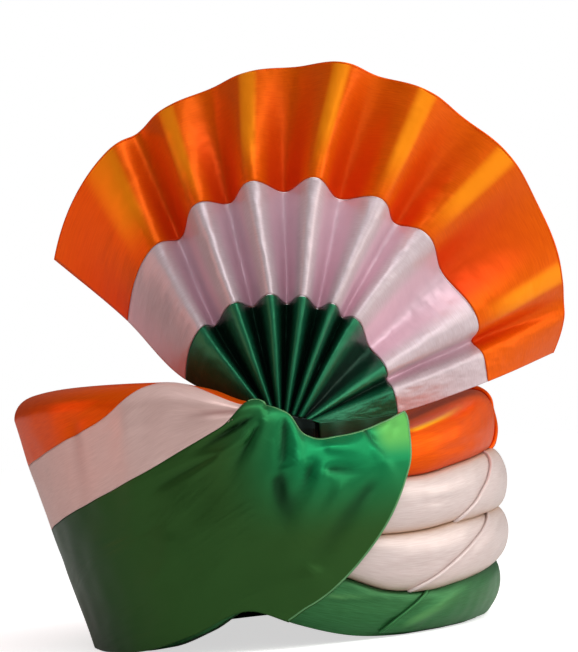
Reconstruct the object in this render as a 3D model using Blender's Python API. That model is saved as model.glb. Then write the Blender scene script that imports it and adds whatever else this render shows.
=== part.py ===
"""A tied turban in three stripes of satin: wound rolls round an open head hollow, a broad
smooth wrap drawn over the left side and the front, and a pleated fan that stands up behind it.

Metres, +Z up. The front is towards -Y, so +X is to the right of someone looking at it. The
pieces are worked out round the middle of the head opening, with bearings in degrees from the
front, positive towards +X. The finished turban is then moved so that the origin is the middle
of its base, on the surface that the rim rests on.
"""

import math

import bpy
import numpy as np
from mathutils import Matrix

# Head opening and crown
HEAD_HALF_WIDTH = 0.080
HEAD_HALF_LENGTH = 0.098
CROWN_CLOTH = 0.0024
CROWN_RIM_HEIGHT = 0.026
CROWN_WALL_HEIGHT = 0.058
CROWN_TOP = 0.1144

# Wound body
BODY_HEIGHT = 0.140
NOTCH_RISE = 0.020
WOUND_WALL = 0.030
ROLL_CREASE = 0.0075
TURN_RADIUS = 0.011
RIM_ROUNDING = 0.008
BOWL_END_HEIGHT = 0.101
BOWL_HOLLOW = 1.5

# Cloth laid over the rolls
SHEET_CLOTH = 0.0024
LAYER_GAP = 0.0010
SEAM_GAP = 0.0004
HEM_LIFT = 0.0005
TURNED_IN = 0.026
CURL_IN = 0.007

# Fan
FAN_CLOTH = 0.0010
FAN_STRIPE = 0.062
FAN_FACING_DEG = 12.0
FAN_ROOT_ACROSS = 0.0084
FAN_ROOT_BACK = -0.1050
FAN_ROOT_RISE = 0.0151
FAN_SEAT_BEARING = 16.0
GATHER_WIDTH = 0.0226
GATHER_DROP = 0.0060
GATHER_START = 0.0012
PLEAT_DEPTH = 0.024
ROOT_DEPTH = 0.012
ROOT_SEAT = 0.0004
STRIPE_GAP = 0.0006

# Mesh counts
RING_COLUMNS = 40
ROLL_ROWS = 6
FLANK_STEPS = 2
BAND_ROWS = 3
WRAP_COLUMNS = 26
WRAP_RIGHT_COLUMNS = 8

# Sections of the wound body. Columns: bearing in degrees, rim as a share of NOTCH_RISE, then
# the wall at the foot, waist and shoulder as shares of WOUND_WALL, and the rolls' crest as a
# share of BODY_HEIGHT.
BODY_SECTIONS = [
    (-180, 0.00, 0.80, 1.13, 1.13, 0.860),
    (-135, 0.00, 0.80, 1.24, 1.45, 0.900),
    (-90, 0.00, 0.81, 1.40, 1.93, 0.940),
    (-50, 0.00, 0.83, 1.22, 1.58, 0.955),
    (-26, 0.15, 0.80, 1.02, 1.20, 0.945),
    (-12, 0.50, 0.76, 0.95, 1.03, 0.850),
    (4, 1.00, 0.73, 0.93, 1.00, 0.745),
    (16, 0.58, 0.76, 0.98, 1.00, 0.735),
    (32, 0.16, 0.83, 1.10, 1.05, 0.725),
    (50, 0.00, 0.90, 1.23, 1.13, 0.745),
    (68, 0.00, 1.02, 1.31, 1.22, 0.790),
    (90, 0.00, 1.08, 1.35, 1.26, 0.860),
    (135, 0.00, 1.00, 1.29, 1.25, 0.860),
]

# Seams between the rolls, as shares of BODY_HEIGHT: green to lower white, lower to upper
# white, upper white to saffron.
ROLL_SEAMS = [
    (-180, 0.200, 0.400, 0.620),
    (-90, 0.220, 0.430, 0.650),
    (0, 0.330, 0.440, 0.600),
    (28, 0.250, 0.395, 0.580),
    (44, 0.170, 0.374, 0.575),
    (55, 0.157, 0.376, 0.577),
    (67, 0.170, 0.393, 0.600),
    (90, 0.203, 0.410, 0.632),
    (135, 0.200, 0.400, 0.625),
]

# The smooth wrap, along its cloth up from the floor, as shares of BODY_HEIGHT: the seam of
# green to white, the seam of white to saffron, and the wrap's upper edge.
WRAP_SEAMS = [
    (-160, 0.330, 0.640, 0.930),
    (-125, 0.390, 0.670, 0.955),
    (-90, 0.440, 0.695, 0.968),
    (-70, 0.465, 0.720, 0.982),
    (-45, 0.548, 0.800, 0.997),
    (-27, 0.633, 0.885, 0.994),
    (-14, 0.712, 0.960, 0.985),
    (-2, 0.790, 0.925, 0.945),
    (6, 0.842, 0.890, 0.900),
    (12, 0.866, 0.880, 0.886),
]

# The green stripe's upper edge right of the gather, where it dips under the fan.
GREEN_LIP = [
    (12, 0.866),
    (17, 0.874),
    (22, 0.860),
    (28, 0.820),
    (36, 0.800),
    (44, 0.818),
    (52, 0.850),
]

WRAP_REAR = {"foot": -150.0, "green_top": -143.0, "white_top": -136.0, "top": -128.0}
WRAP_TIP_BEARING = 12.0
WRAP_EDGE_FOOT = 14.0
WRAP_EDGE_TOP = 51.0
WRAP_EDGE_BEND = 1.6

# Cloth of the second turn, round the back. Columns: colour roll, bearing where it starts at
# the foot and at the top of its roll, and bearing where it ends under the wrap.
BACK_TURNS = [
    ("back_roll_green", 0, 40.0, 56.0, 232.0),
    ("back_roll_white_lower", 1, 50.0, 84.0, 232.0),
    ("back_roll_white_upper", 2, 66.0, 87.0, 232.0),
    ("back_roll_saffron", 3, 96.0, 106.0, 232.0),
]

# The fan's folds, seen from where it faces. Columns: place along the gather as a share of
# GATHER_WIDTH, depth as a share of PLEAT_DEPTH, the cloth's direction in degrees above the
# right-hand horizontal in the green, white and saffron stripes, and its backward lean there.
FAN_FOLDS = [
    ("left_end", -0.54, 0.55, 152.4, 131.1, 136.2, 40.4, 40.0, 30.6),
    ("ridge", -0.50, 0.00, 125.0, 118.0, 112.0, 26.0, 34.0, 17.0),
    ("valley", -0.43, 1.00, 117.0, 107.0, 108.0, 20.0, 30.0, 20.0),
    ("ridge", -0.36, 0.00, 105.5, 106.5, 103.5, 12.0, 24.0, 24.0),
    ("valley", -0.29, 1.00, 98.0, 98.0, 95.5, 8.0, 19.0, 20.0),
    ("ridge", -0.22, 0.00, 90.0, 95.5, 87.5, 3.0, 15.0, 17.0),
    ("valley", -0.15, 1.00, 83.5, 86.5, 80.0, 2.0, 11.0, 10.0),
    ("ridge", -0.08, 0.00, 77.5, 79.5, 72.0, 1.0, 8.0, 4.0),
    ("valley", -0.01, 1.00, 71.0, 74.0, 67.0, 2.0, 11.0, 4.0),
    ("ridge", 0.06, 0.00, 65.5, 61.5, 61.5, 4.0, 14.0, 4.0),
    ("valley", 0.13, 0.90, 60.5, 56.0, 51.5, 9.0, 17.0, 5.0),
    ("ridge", 0.21, 0.00, 55.0, 46.0, 41.0, 17.0, 19.0, 8.0),
    ("valley", 0.29, 1.00, 43.0, 39.0, 31.0, 26.0, 20.0, 17.0),
    ("ridge", 0.36, 0.00, 27.2, 23.3, 26.1, 36.7, 24.8, 26.8),
    ("valley", 0.43, 0.65, 23.0, 20.0, 19.5, 38.8, 31.0, 28.0),
    ("ridge", 0.50, 0.00, 14.6, 17.0, 18.7, 42.5, 31.0, 35.0),
    ("right_end", 0.62, 0.15, 2.4, 14.2, 18.3, 46.0, 31.5, 46.0),
]

# Pleat depth along the cloth, as shares of PLEAT_DEPTH: at the gather and at each stripe's
# outer edge; and how far the valleys' cloth is drawn in there, as shares of FAN_STRIPE.
PLEAT_SWELL = (0.12, 0.95, 0.85, 0.40)
VALLEY_DRAWN_IN = (0.00, 0.065, 0.10, 0.06)

SAFFRON = (0.86, 0.15, 0.01, 1.0)
WHITE = (0.82, 0.76, 0.72, 1.0)
GREEN = (0.01, 0.12, 0.03, 1.0)
SATIN_ROUGHNESS = 0.38


def satin(name, colour):
    """A smooth woven cloth of one colour."""
    material = bpy.data.materials.new(name)
    material.use_nodes = True
    shader = material.node_tree.nodes["Principled BSDF"]
    shader.inputs["Base Color"].default_value = colour
    shader.inputs["Roughness"].default_value = SATIN_ROUGHNESS
    shader.inputs["Metallic"].default_value = 0.0
    return material


def add_piece(name, points, faces, material):
    """One named object, smooth apart from its hems."""
    mesh = bpy.data.meshes.new(name)
    mesh.from_pydata([tuple(p) for p in points], [], faces)
    mesh.materials.append(material)
    mesh.shade_smooth()
    mesh.set_sharp_from_angle(angle=math.radians(40))
    piece = bpy.data.objects.new(name, mesh)
    bpy.context.scene.collection.objects.link(piece)
    return piece


def column_curve(rows, column, period=360.0):
    """A smooth curve through one column of a table that is sorted by bearing. With a period
    the curve closes on itself; without one it holds its end values."""
    keys = np.array([row[0] for row in rows], float)
    values = np.array([row[column] for row in rows], float)
    if period:
        keys = np.concatenate([keys[-2:] - period, keys, keys[:2] + period])
        values = np.concatenate([values[-2:], values, values[:2]])
    slopes = np.gradient(values, keys)

    def curve(bearing):
        x = np.asarray(bearing, float)
        if period:
            x = (x - keys[2]) % period + keys[2]
        x = np.clip(x, keys[0], keys[-1])
        i = np.clip(np.searchsorted(keys, x, side="right") - 1, 0, len(keys) - 2)
        span = keys[i + 1] - keys[i]
        t = (x - keys[i]) / span
        return (
            values[i] * (1 + 2 * t) * (1 - t) ** 2
            + slopes[i] * span * t * (1 - t) ** 2
            + values[i + 1] * t * t * (3 - 2 * t)
            + slopes[i + 1] * span * t * t * (t - 1)
        )

    return curve


rim_share = column_curve(BODY_SECTIONS, 1)
foot_wall = column_curve(BODY_SECTIONS, 2)
waist_wall = column_curve(BODY_SECTIONS, 3)
shoulder_wall = column_curve(BODY_SECTIONS, 4)
crest_share = column_curve(BODY_SECTIONS, 5)
roll_seams = [column_curve(ROLL_SEAMS, k) for k in (1, 2, 3)]
wrap_green_top = column_curve(WRAP_SEAMS, 1, period=None)
wrap_white_top = column_curve(WRAP_SEAMS, 2, period=None)
wrap_crest = column_curve(WRAP_SEAMS, 3, period=None)
green_lip = column_curve(GREEN_LIP, 1, period=None)


def smoothstep(x):
    t = np.clip(x, 0.0, 1.0)
    return t * t * (3 - 2 * t)


def on_ring(bearing, half_width, half_length, height):
    """The point at a bearing on an ellipse round the head."""
    a = np.radians(bearing)
    return np.stack(
        np.broadcast_arrays(half_width * np.sin(a), -half_length * np.cos(a), height), -1
    )


def rim_height(bearing):
    return np.maximum(rim_share(bearing), 0.0) * NOTCH_RISE


def rolls_crest(bearing):
    return crest_share(bearing) * BODY_HEIGHT


def wall_at(bearing, height):
    """How far the rolls reach out from the head opening at a height."""
    foot, waist, shoulder = foot_wall(bearing), waist_wall(bearing), shoulder_wall(bearing)
    t = height / BODY_HEIGHT
    low = (t - 0.45) * (t - 0.85) / (0.05 - 0.45) / (0.05 - 0.85)
    middle = (t - 0.05) * (t - 0.85) / (0.45 - 0.05) / (0.45 - 0.85)
    high = (t - 0.05) * (t - 0.45) / (0.85 - 0.05) / (0.85 - 0.45)
    return (foot * low + waist * middle + shoulder * high) * WOUND_WALL


def crown_scale(height):
    """The share of its full width that the crown has at a height."""
    rise = np.clip((height - CROWN_WALL_HEIGHT) / (CROWN_TOP - CROWN_WALL_HEIGHT), 0.0, 0.999)
    return np.sqrt(1 - rise**2)


def crown_axes(height, clear):
    """Half width and half length of the crown's outside at a height, with a clearance."""
    share = crown_scale(height)
    return (
        (HEAD_HALF_WIDTH + CROWN_CLOTH) * share + clear,
        (HEAD_HALF_LENGTH + CROWN_CLOTH) * share + clear,
    )


def contour(bearing, along, out, crest):
    """A point of the body's outside: up the side, over the crest and down the bowl towards
    the crown. along is the height on the side and goes on as length of cloth past it; out is
    the distance outside the rolls."""
    bearing, along = np.broadcast_arrays(
        np.asarray(bearing, float), np.asarray(along, float)
    )
    turn_start = crest - TURN_RADIUS
    turned = np.clip((along - turn_start) / TURN_RADIUS, 0.0, math.pi / 2)
    slope_start = turn_start + TURN_RADIUS * math.pi / 2
    side = np.minimum(along, turn_start)
    wall = wall_at(bearing, side) + out - TURN_RADIUS * (1 - np.cos(turned))
    height = side + TURN_RADIUS * np.sin(turned)
    half_width, half_length = HEAD_HALF_WIDTH + wall, HEAD_HALF_LENGTH + wall
    end_width, end_length = crown_axes(BOWL_END_HEIGHT, LAYER_GAP + out)
    run = np.maximum(half_width - end_width, 0.001)
    down = np.clip((along - slope_start) / run, 0.0, 1.0)
    fall = crest - BOWL_END_HEIGHT - out
    return on_ring(
        bearing,
        half_width + (end_width - half_width) * down,
        half_length + (end_length - half_length) * down,
        height - fall * down**BOWL_HOLLOW,
    )


def bulge(share):
    """1 in the middle of a roll and 0 at its creases."""
    return np.sqrt(np.clip(1 - (2 * share - 1) ** 2, 0.0, 1.0))


def roll_limits(roll, bearing):
    """Lower and upper seam heights of a roll, numbered from the foot."""
    lower = rim_height(bearing) if roll == 0 else roll_seams[roll - 1](bearing) * BODY_HEIGHT
    upper = rolls_crest(bearing) - TURN_RADIUS if roll == 3 else roll_seams[roll](bearing) * BODY_HEIGHT
    return lower, upper


def roll_side(roll, bearing, share, out):
    """The outside of a roll, from its lower seam at share 0 to its upper one at 1."""
    lower, upper = roll_limits(roll, bearing)
    lower = lower + (HEM_LIFT if roll == 0 and out > 0 else SEAM_GAP / 2 if roll else 0.0)
    upper = upper - (SEAM_GAP / 2 if roll < 3 else 0.0)
    height = lower + (upper - lower) * share
    if roll == 0:
        swell = bulge(0.5 * share + 0.5)
        tuck = RIM_ROUNDING * (1 - share) ** 3
    elif roll == 3:
        swell = bulge(0.5 * share)
        tuck = 0.0
    else:
        swell = bulge(share)
        tuck = 0.0
    pulled = -ROLL_CREASE * (1 - swell) - tuck
    return contour(bearing, height, out + pulled, rolls_crest(bearing) + out)


def grid_faces(rows, columns, closed_rows=False, closed_columns=False):
    """Triangles over a grid of points. In a closed section the last row, the underside, is
    cut along the same lines as the top, so that rings stacked on it keep their gap."""
    faces = []
    for i in range(columns if closed_columns else columns - 1):
        for j in range(rows if closed_rows else rows - 1):
            a, b = i * rows + j, i * rows + (j + 1) % rows
            c = ((i + 1) % columns) * rows + (j + 1) % rows
            d = ((i + 1) % columns) * rows + j
            if j < rows - 1:
                faces += [(a, d, b), (d, c, b)]
            else:
                faces += [(a, d, c), (a, c, b)]
    return faces


def ring_solid(name, sections, material):
    """A closed ring from one closed section for each bearing: columns x points x 3."""
    columns, rows = sections.shape[:2]
    faces = grid_faces(rows, columns, closed_rows=True, closed_columns=True)
    return add_piece(name, sections.reshape(-1, 3), faces, material)


def sheet_solid(name, outer, inner, material):
    """Cloth between an outer and an inner grid of the same shape: columns x rows x 3."""
    columns, rows = outer.shape[:2]
    count = columns * rows
    faces = grid_faces(rows, columns)
    faces += [tuple(count + v for v in reversed(face)) for face in grid_faces(rows, columns)]
    border = [i * rows for i in range(columns)]
    border += [(columns - 1) * rows + j for j in range(1, rows)]
    border += [i * rows + rows - 1 for i in range(columns - 2, -1, -1)]
    border += [j for j in range(rows - 2, 0, -1)]
    for a, b in zip(border, border[1:] + border[:1]):
        faces.append((b, a, count + a, count + b))
    points = np.concatenate([outer.reshape(-1, 3), inner.reshape(-1, 3)])
    return add_piece(name, points, faces, material)


def make_crown(material):
    """The cloth over the head: a wall and a dome, open below."""
    bearings = np.arange(RING_COLUMNS) * 360.0 / RING_COLUMNS
    rises = np.sin(np.radians([0, 20, 38, 54, 68, 80]))
    heights = np.concatenate(
        [[CROWN_RIM_HEIGHT], CROWN_WALL_HEIGHT + rises * (CROWN_TOP - CROWN_WALL_HEIGHT)]
    )
    points, skins = [], []
    for shrink in (0.0, CROWN_CLOTH):
        span = (CROWN_TOP - shrink - CROWN_WALL_HEIGHT) / (CROWN_TOP - CROWN_WALL_HEIGHT)
        start = len(points)
        for b in bearings:
            for z in heights:
                half_width, half_length = crown_axes(z, -shrink)
                level = z if z <= CROWN_WALL_HEIGHT else CROWN_WALL_HEIGHT + (z - CROWN_WALL_HEIGHT) * span
                points.append(on_ring(b, half_width, half_length, level))
        points.append(np.array([0.0, 0.0, CROWN_TOP - shrink]))
        skins.append(start)
    rows = len(heights)
    faces = []
    for start, turned in zip(skins, (False, True)):
        pole = start + rows * RING_COLUMNS
        skin = grid_faces(rows, RING_COLUMNS, closed_columns=True)
        for i in range(RING_COLUMNS):
            j = (i + 1) % RING_COLUMNS
            skin.append((i * rows + rows - 1, j * rows + rows - 1, pole - start))
        for face in skin:
            face = tuple(start + v for v in face)
            faces.append(face[::-1] if turned else face)
    for i in range(RING_COLUMNS):
        j = (i + 1) % RING_COLUMNS
        a, b = i * rows, j * rows
        faces.append((b, a, skins[1] + a, skins[1] + b))
    add_piece("crown_cloth", points, faces, material)


def make_roll(name, roll, material):
    """One roll of the first turn, all the way round, wound on to the crown."""
    bearings = np.arange(RING_COLUMNS) * 360.0 / RING_COLUMNS
    shares = (1 - np.cos(np.linspace(0, math.pi, ROLL_ROWS + 1))) / 2
    sections = []
    for b in bearings:
        side = [roll_side(roll, b, s, 0.0) for s in shares]
        if roll == 3:
            crest = rolls_crest(b)
            start = crest - TURN_RADIUS
            over = [start + TURN_RADIUS * a for a in (0.5, 1.0, math.pi / 2)]
            reach = HEAD_HALF_WIDTH + wall_at(b, start) - TURN_RADIUS
            bowl = reach - crown_axes(BOWL_END_HEIGHT, LAYER_GAP)[0]
            over += [over[-1] + bowl * s for s in (0.35, 0.7, 1.0)]
            side += [contour(b, a, 0.0, crest) for a in over]
        low, high = side[0][2], side[-1][2]
        inner_heights = np.linspace(high, low, 4 if roll > 1 else 2)
        inner = []
        for z in inner_heights[1 if roll == 3 else 0 :]:
            half_width, half_length = crown_axes(z, LAYER_GAP)
            inner.append(on_ring(b, half_width, half_length, z))
        sections.append(side + inner)
    ring_solid(name, np.array(sections), material)


def make_back_turn(name, roll, start_foot, start_top, end, material):
    """Cloth of the second turn over one roll, from its slanted free edge to where the wrap
    covers it."""
    shares = (1 - np.cos(np.linspace(0, math.pi, ROLL_ROWS + 1))) / 2
    shares = shares[1:] if roll == 0 else shares
    columns = np.linspace(0, 1, 24)
    skins = []
    for out in (LAYER_GAP + SHEET_CLOTH, LAYER_GAP):
        grid = []
        for c in columns:
            line = []
            for s in shares:
                b = start_foot + (start_top - start_foot) * s
                b = b + (end - b) * c
                line.append(roll_side(roll, b, s, out))
            if roll == 3:
                b = start_top + (end - start_top) * c
                crest = rolls_crest(b) + out
                first = crest - TURN_RADIUS
                over = [first + TURN_RADIUS * a for a in (0.5, 1.0, math.pi / 2)]
                over += [over[-1] + TURNED_IN * s for s in (0.5, 1.0)]
                line += [contour(b, a, out, crest) for a in over]
            grid.append(line)
        skins.append(np.array(grid))
    sheet_solid(name, skins[0], skins[1], material)


def wrap_lift(bearing):
    """The wrap rises over the second turn's ends at the left of the back."""
    return (SHEET_CLOTH + LAYER_GAP) * smoothstep((-104.0 - bearing) / 20.0)


def wrap_point(bearing, along, inner):
    out = LAYER_GAP + (0.0 if inner else SHEET_CLOTH)
    crest = np.where(
        bearing <= WRAP_TIP_BEARING, wrap_crest(bearing), green_lip(bearing)
    ) * BODY_HEIGHT - (SHEET_CLOTH if inner else 0.0)
    lift = wrap_lift(bearing)
    return contour(bearing, along, out + lift, crest + lift)


def slant(share, low):
    """How far a column of the wrap has gone towards its upper bearing at a share of its
    height: straight at the back, and bending over to the right at the free front edge."""
    bent = 1 - (1 - share) ** WRAP_EDGE_BEND
    return share + (bent - share) * smoothstep((low + 20.0) / 30.0)


def wrap_sheet(name, lower, upper, low_stops, high_stops, rows, material):
    """One stripe of the smooth wrap. lower and upper give its edges along the cloth at a
    bearing; low_stops and high_stops are the bearings of its columns at those edges."""
    skins = []
    for inner in (False, True):
        grid = []
        for low, high in zip(low_stops, high_stops):
            line = []
            for s in rows:
                b = low + (high - low) * slant(s, low)
                along = lower(b) + (upper(b) - lower(b)) * s
                line.append(wrap_point(b, along, inner))
            grid.append(line)
        skins.append(np.array(grid))
    sheet_solid(name, skins[0], skins[1], material)


def green_top(bearing):
    left = wrap_green_top(bearing) * BODY_HEIGHT - SEAM_GAP / 2
    right = green_lip(bearing) * BODY_HEIGHT - TURN_RADIUS + CURL_IN
    blend = smoothstep((bearing - WRAP_TIP_BEARING + 8.0) / 8.0)
    return left + (right - left) * blend


def turned_end(bearing):
    """The end of the saffron stripe, turned in over the crest."""
    crest = wrap_crest(bearing) * BODY_HEIGHT
    slope_start = crest + TURN_RADIUS * (math.pi / 2 - 1)
    narrow = smoothstep((WRAP_TIP_BEARING - bearing) / 40.0)
    return slope_start + 0.004 + (TURNED_IN - 0.004) * narrow


def make_wrap(saffron, white, green):
    """The three stripes of the smooth wrap round the left side and over the front."""
    stops = {
        edge: np.linspace(rear, WRAP_TIP_BEARING, WRAP_COLUMNS)
        for edge, rear in WRAP_REAR.items()
    }
    right_top = np.linspace(WRAP_TIP_BEARING, WRAP_EDGE_TOP, WRAP_RIGHT_COLUMNS)[1:]
    green_stops = np.concatenate([stops["green_top"], right_top])
    reach = (green_stops - green_stops[0]) / (green_stops[-1] - green_stops[0])
    foot_stops = WRAP_REAR["foot"] + (WRAP_EDGE_FOOT - WRAP_REAR["foot"]) * reach
    wrap_sheet(
        "wrap_green",
        lambda b: rim_height(b) + HEM_LIFT,
        green_top,
        foot_stops,
        green_stops,
        np.array([0, 0.18, 0.36, 0.54, 0.72, 0.87, 1.0]),
        green,
    )
    wrap_sheet(
        "wrap_white",
        lambda b: wrap_green_top(b) * BODY_HEIGHT + SEAM_GAP / 2,
        lambda b: wrap_white_top(b) * BODY_HEIGHT - SEAM_GAP / 2,
        stops["green_top"],
        stops["white_top"],
        np.linspace(0, 1, 5),
        white,
    )
    wrap_sheet(
        "wrap_saffron",
        lambda b: wrap_white_top(b) * BODY_HEIGHT + SEAM_GAP / 2,
        turned_end,
        stops["white_top"],
        stops["top"],
        np.linspace(0, 1, 9),
        saffron,
    )


def fan_axes():
    a = math.radians(FAN_FACING_DEG)
    right = np.array([math.cos(a), math.sin(a), 0.0])
    back = np.array([-math.sin(a), math.cos(a), 0.0])
    return right, back, np.array([0.0, 0.0, 1.0])


def fan_root():
    right, back, up = fan_axes()
    height = rolls_crest(FAN_SEAT_BEARING) + FAN_ROOT_RISE
    return right * FAN_ROOT_ACROSS + back * FAN_ROOT_BACK + up * height


def fan_fold_line(fold, along):
    """A fold's line at a distance along the cloth from the gather."""
    place, depth = fold[1:3]
    right, back, up = fan_axes()
    knots = [fan_root() + right * place * GATHER_WIDTH - up * (place + 0.5) * GATHER_DROP]
    for direction, lean in zip(fold[3:6], fold[6:9]):
        a, tilt = math.radians(direction), math.radians(lean)
        step = right * math.cos(a) * math.cos(tilt) + up * math.sin(a) * math.cos(tilt)
        knots.append(knots[-1] + (step + back * math.sin(tilt)) * FAN_STRIPE)
    stops = [(0.0,) + tuple(knots[0])]
    stops += [(k * FAN_STRIPE,) + tuple(knots[k]) for k in (1, 2, 3)]
    swell = [(k * FAN_STRIPE, PLEAT_SWELL[k], VALLEY_DRAWN_IN[k]) for k in range(4)]
    drawn = along - depth * column_curve(swell, 2, period=None)(along) * FAN_STRIPE
    point = np.array([float(column_curve(stops, k, period=None)(drawn)) for k in (1, 2, 3)])
    pleat = depth * PLEAT_DEPTH * float(column_curve(swell, 1, period=None)(along))
    return point + back * pleat


def fan_column(index, step, along):
    """A point on the flank between two folds, at a number of steps from the first."""
    first = fan_fold_line(FAN_FOLDS[index], along)
    if step == 0:
        return first
    second = fan_fold_line(FAN_FOLDS[index + 1], along)
    return first + (second - first) * step / FLANK_STEPS


def make_fan_band(name, start, end, material):
    """One stripe of the pleated fan."""
    stops = np.linspace(start, end, BAND_ROWS + 1)
    grid = []
    for index in range(len(FAN_FOLDS) - 1):
        for step in range(FLANK_STEPS):
            grid.append([fan_column(index, step, r) for r in stops])
    grid.append([fan_column(len(FAN_FOLDS) - 1, 0, r) for r in stops])
    middle = np.array(grid)
    steps = np.diff(middle, axis=0)
    steps /= np.linalg.norm(steps, axis=2, keepdims=True)
    across = np.concatenate([steps[:1], steps[1:] + steps[:-1], steps[-1:]])
    along = np.gradient(middle, axis=1)
    normal = np.cross(across, along)
    normal /= np.linalg.norm(normal, axis=2, keepdims=True)
    half = normal * FAN_CLOTH / 2
    sheet_solid(name, middle + half, middle - half, material)


def make_fan_root(material):
    """The tied foot of the pleats, seated on the rolls behind the wrap's lip."""
    right, back, up = fan_axes()
    centre = fan_root()
    sides = 12
    foot = rolls_crest(FAN_SEAT_BEARING) + ROOT_SEAT
    points = []
    for level in (0, 1):
        for k in range(sides):
            a = 2 * math.pi * k / sides
            across = math.cos(a) * (0.62 if level else 0.5) * GATHER_WIDTH
            deep = (math.sin(a) * 0.5 + 0.5) * ROOT_DEPTH
            place = centre + right * across + back * deep
            lift = -(across / GATHER_WIDTH + 0.5) * GATHER_DROP - SEAM_GAP
            place[2] = foot if level == 0 else centre[2] + lift
            points.append(place)
    faces = [tuple(reversed(range(sides))), tuple(range(sides, 2 * sides))]
    for k in range(sides):
        j = (k + 1) % sides
        faces.append((k, j, sides + j, sides + k))
    add_piece("fan_root", points, faces, material)


def centre_on_base():
    """Moves every piece so that the origin is the middle of the turban's base."""
    pieces = list(bpy.context.scene.collection.objects)
    points = np.array([vertex.co for piece in pieces for vertex in piece.data.vertices])
    low, high = points.min(axis=0), points.max(axis=0)
    middle = (low + high) / 2
    for piece in pieces:
        piece.data.transform(Matrix.Translation((-middle[0], -middle[1], -low[2])))


def main():
    for old in list(bpy.data.objects):
        bpy.data.objects.remove(old)
    saffron = satin("saffron_satin", SAFFRON)
    white = satin("white_satin", WHITE)
    green = satin("green_satin", GREEN)
    make_crown(saffron)
    make_roll("roll_green", 0, green)
    make_roll("roll_white_lower", 1, white)
    make_roll("roll_white_upper", 2, white)
    make_roll("roll_saffron", 3, saffron)
    for (name, roll, foot, top, end), cloth in zip(
        BACK_TURNS, (green, white, white, saffron)
    ):
        make_back_turn(name, roll, foot, top, end, cloth)
    make_wrap(saffron, white, green)
    make_fan_root(green)
    gap = STRIPE_GAP / 2
    make_fan_band("fan_green", GATHER_START, FAN_STRIPE - gap, green)
    make_fan_band("fan_white", FAN_STRIPE + gap, 2 * FAN_STRIPE - gap, white)
    make_fan_band("fan_saffron", 2 * FAN_STRIPE + gap, 3 * FAN_STRIPE, saffron)
    centre_on_base()


main()
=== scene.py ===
"""A ready-tied satin turban in three stripes, standing on its rim on a pale floor.

Metres, +Z up, front towards -Y. Bearings are degrees round the head from the front, positive
towards +X. The wound rolls, the smooth wrap and the pleated fan are worked out from the sizes
and tables of the solids that they stand for, with finer folds, lips and seams.
"""

import math

import bmesh
import bpy
import numpy as np
from mathutils import Matrix, Vector


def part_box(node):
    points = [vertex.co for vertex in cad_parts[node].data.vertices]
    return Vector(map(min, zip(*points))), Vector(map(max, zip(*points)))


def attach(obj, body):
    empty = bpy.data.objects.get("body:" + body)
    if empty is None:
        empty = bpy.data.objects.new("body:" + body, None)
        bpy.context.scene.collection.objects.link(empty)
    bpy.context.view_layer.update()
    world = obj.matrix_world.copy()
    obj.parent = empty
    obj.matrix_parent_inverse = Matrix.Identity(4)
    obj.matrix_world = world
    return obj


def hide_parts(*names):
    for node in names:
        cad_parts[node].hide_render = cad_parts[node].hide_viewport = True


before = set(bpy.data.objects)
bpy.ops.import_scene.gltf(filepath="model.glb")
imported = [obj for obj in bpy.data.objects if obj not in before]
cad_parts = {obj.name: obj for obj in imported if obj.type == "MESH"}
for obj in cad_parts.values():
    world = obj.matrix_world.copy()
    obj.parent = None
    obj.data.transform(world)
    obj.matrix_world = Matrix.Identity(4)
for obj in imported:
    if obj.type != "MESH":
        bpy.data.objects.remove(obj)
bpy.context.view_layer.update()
head_low, head_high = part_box("crown_cloth")
HEAD_MIDDLE = np.array([(head_low.x + head_high.x) / 2, (head_low.y + head_high.y) / 2, 0.0])

# Head opening and crown
HEAD_HALF_WIDTH = 0.080
HEAD_HALF_LENGTH = 0.098
CROWN_CLOTH = 0.0024
CROWN_RIM_HEIGHT = 0.026
CROWN_WALL_HEIGHT = 0.058
CROWN_TOP = 0.1144
DOME_END_DEG = 88.5
CROWN_GATHERS = 30
CROWN_GATHER_HEIGHT = 0.0008
HEAD_GIRTH = 0.56

# Wound body
BODY_HEIGHT = 0.140
NOTCH_RISE = 0.020
WOUND_WALL = 0.030
ROLL_CREASE = 0.0075
TURN_RADIUS = 0.011
CREST_RUN = 0.010
RIM_ROUNDING = 0.008
BOWL_END_HEIGHT = 0.101
BOWL_HOLLOW = 1.5

# Where the foot, waist and shoulder of the wall are, as shares of BODY_HEIGHT.
FOOT_AT, WAIST_AT, SHOULDER_AT = 0.05, 0.45, 0.85

# Cloth laid over the rolls
SHEET_CLOTH = 0.0024
LAYER_GAP = 0.0010
HEM_LIFT = 0.0005
TURNED_IN = 0.026
CURL_IN = 0.007

# Fan
FAN_CLOTH = 0.0008
FAN_STRIPE = 0.062
FAN_FACING_DEG = 12.0
FAN_ROOT_ACROSS = 0.0084
FAN_ROOT_BACK = -0.1050
FAN_ROOT_RISE = 0.0151
FAN_SEAT_BEARING = 16.0
GATHER_WIDTH = 0.0226
GATHER_DROP = 0.0060
PLEAT_DEPTH = 0.024

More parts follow.
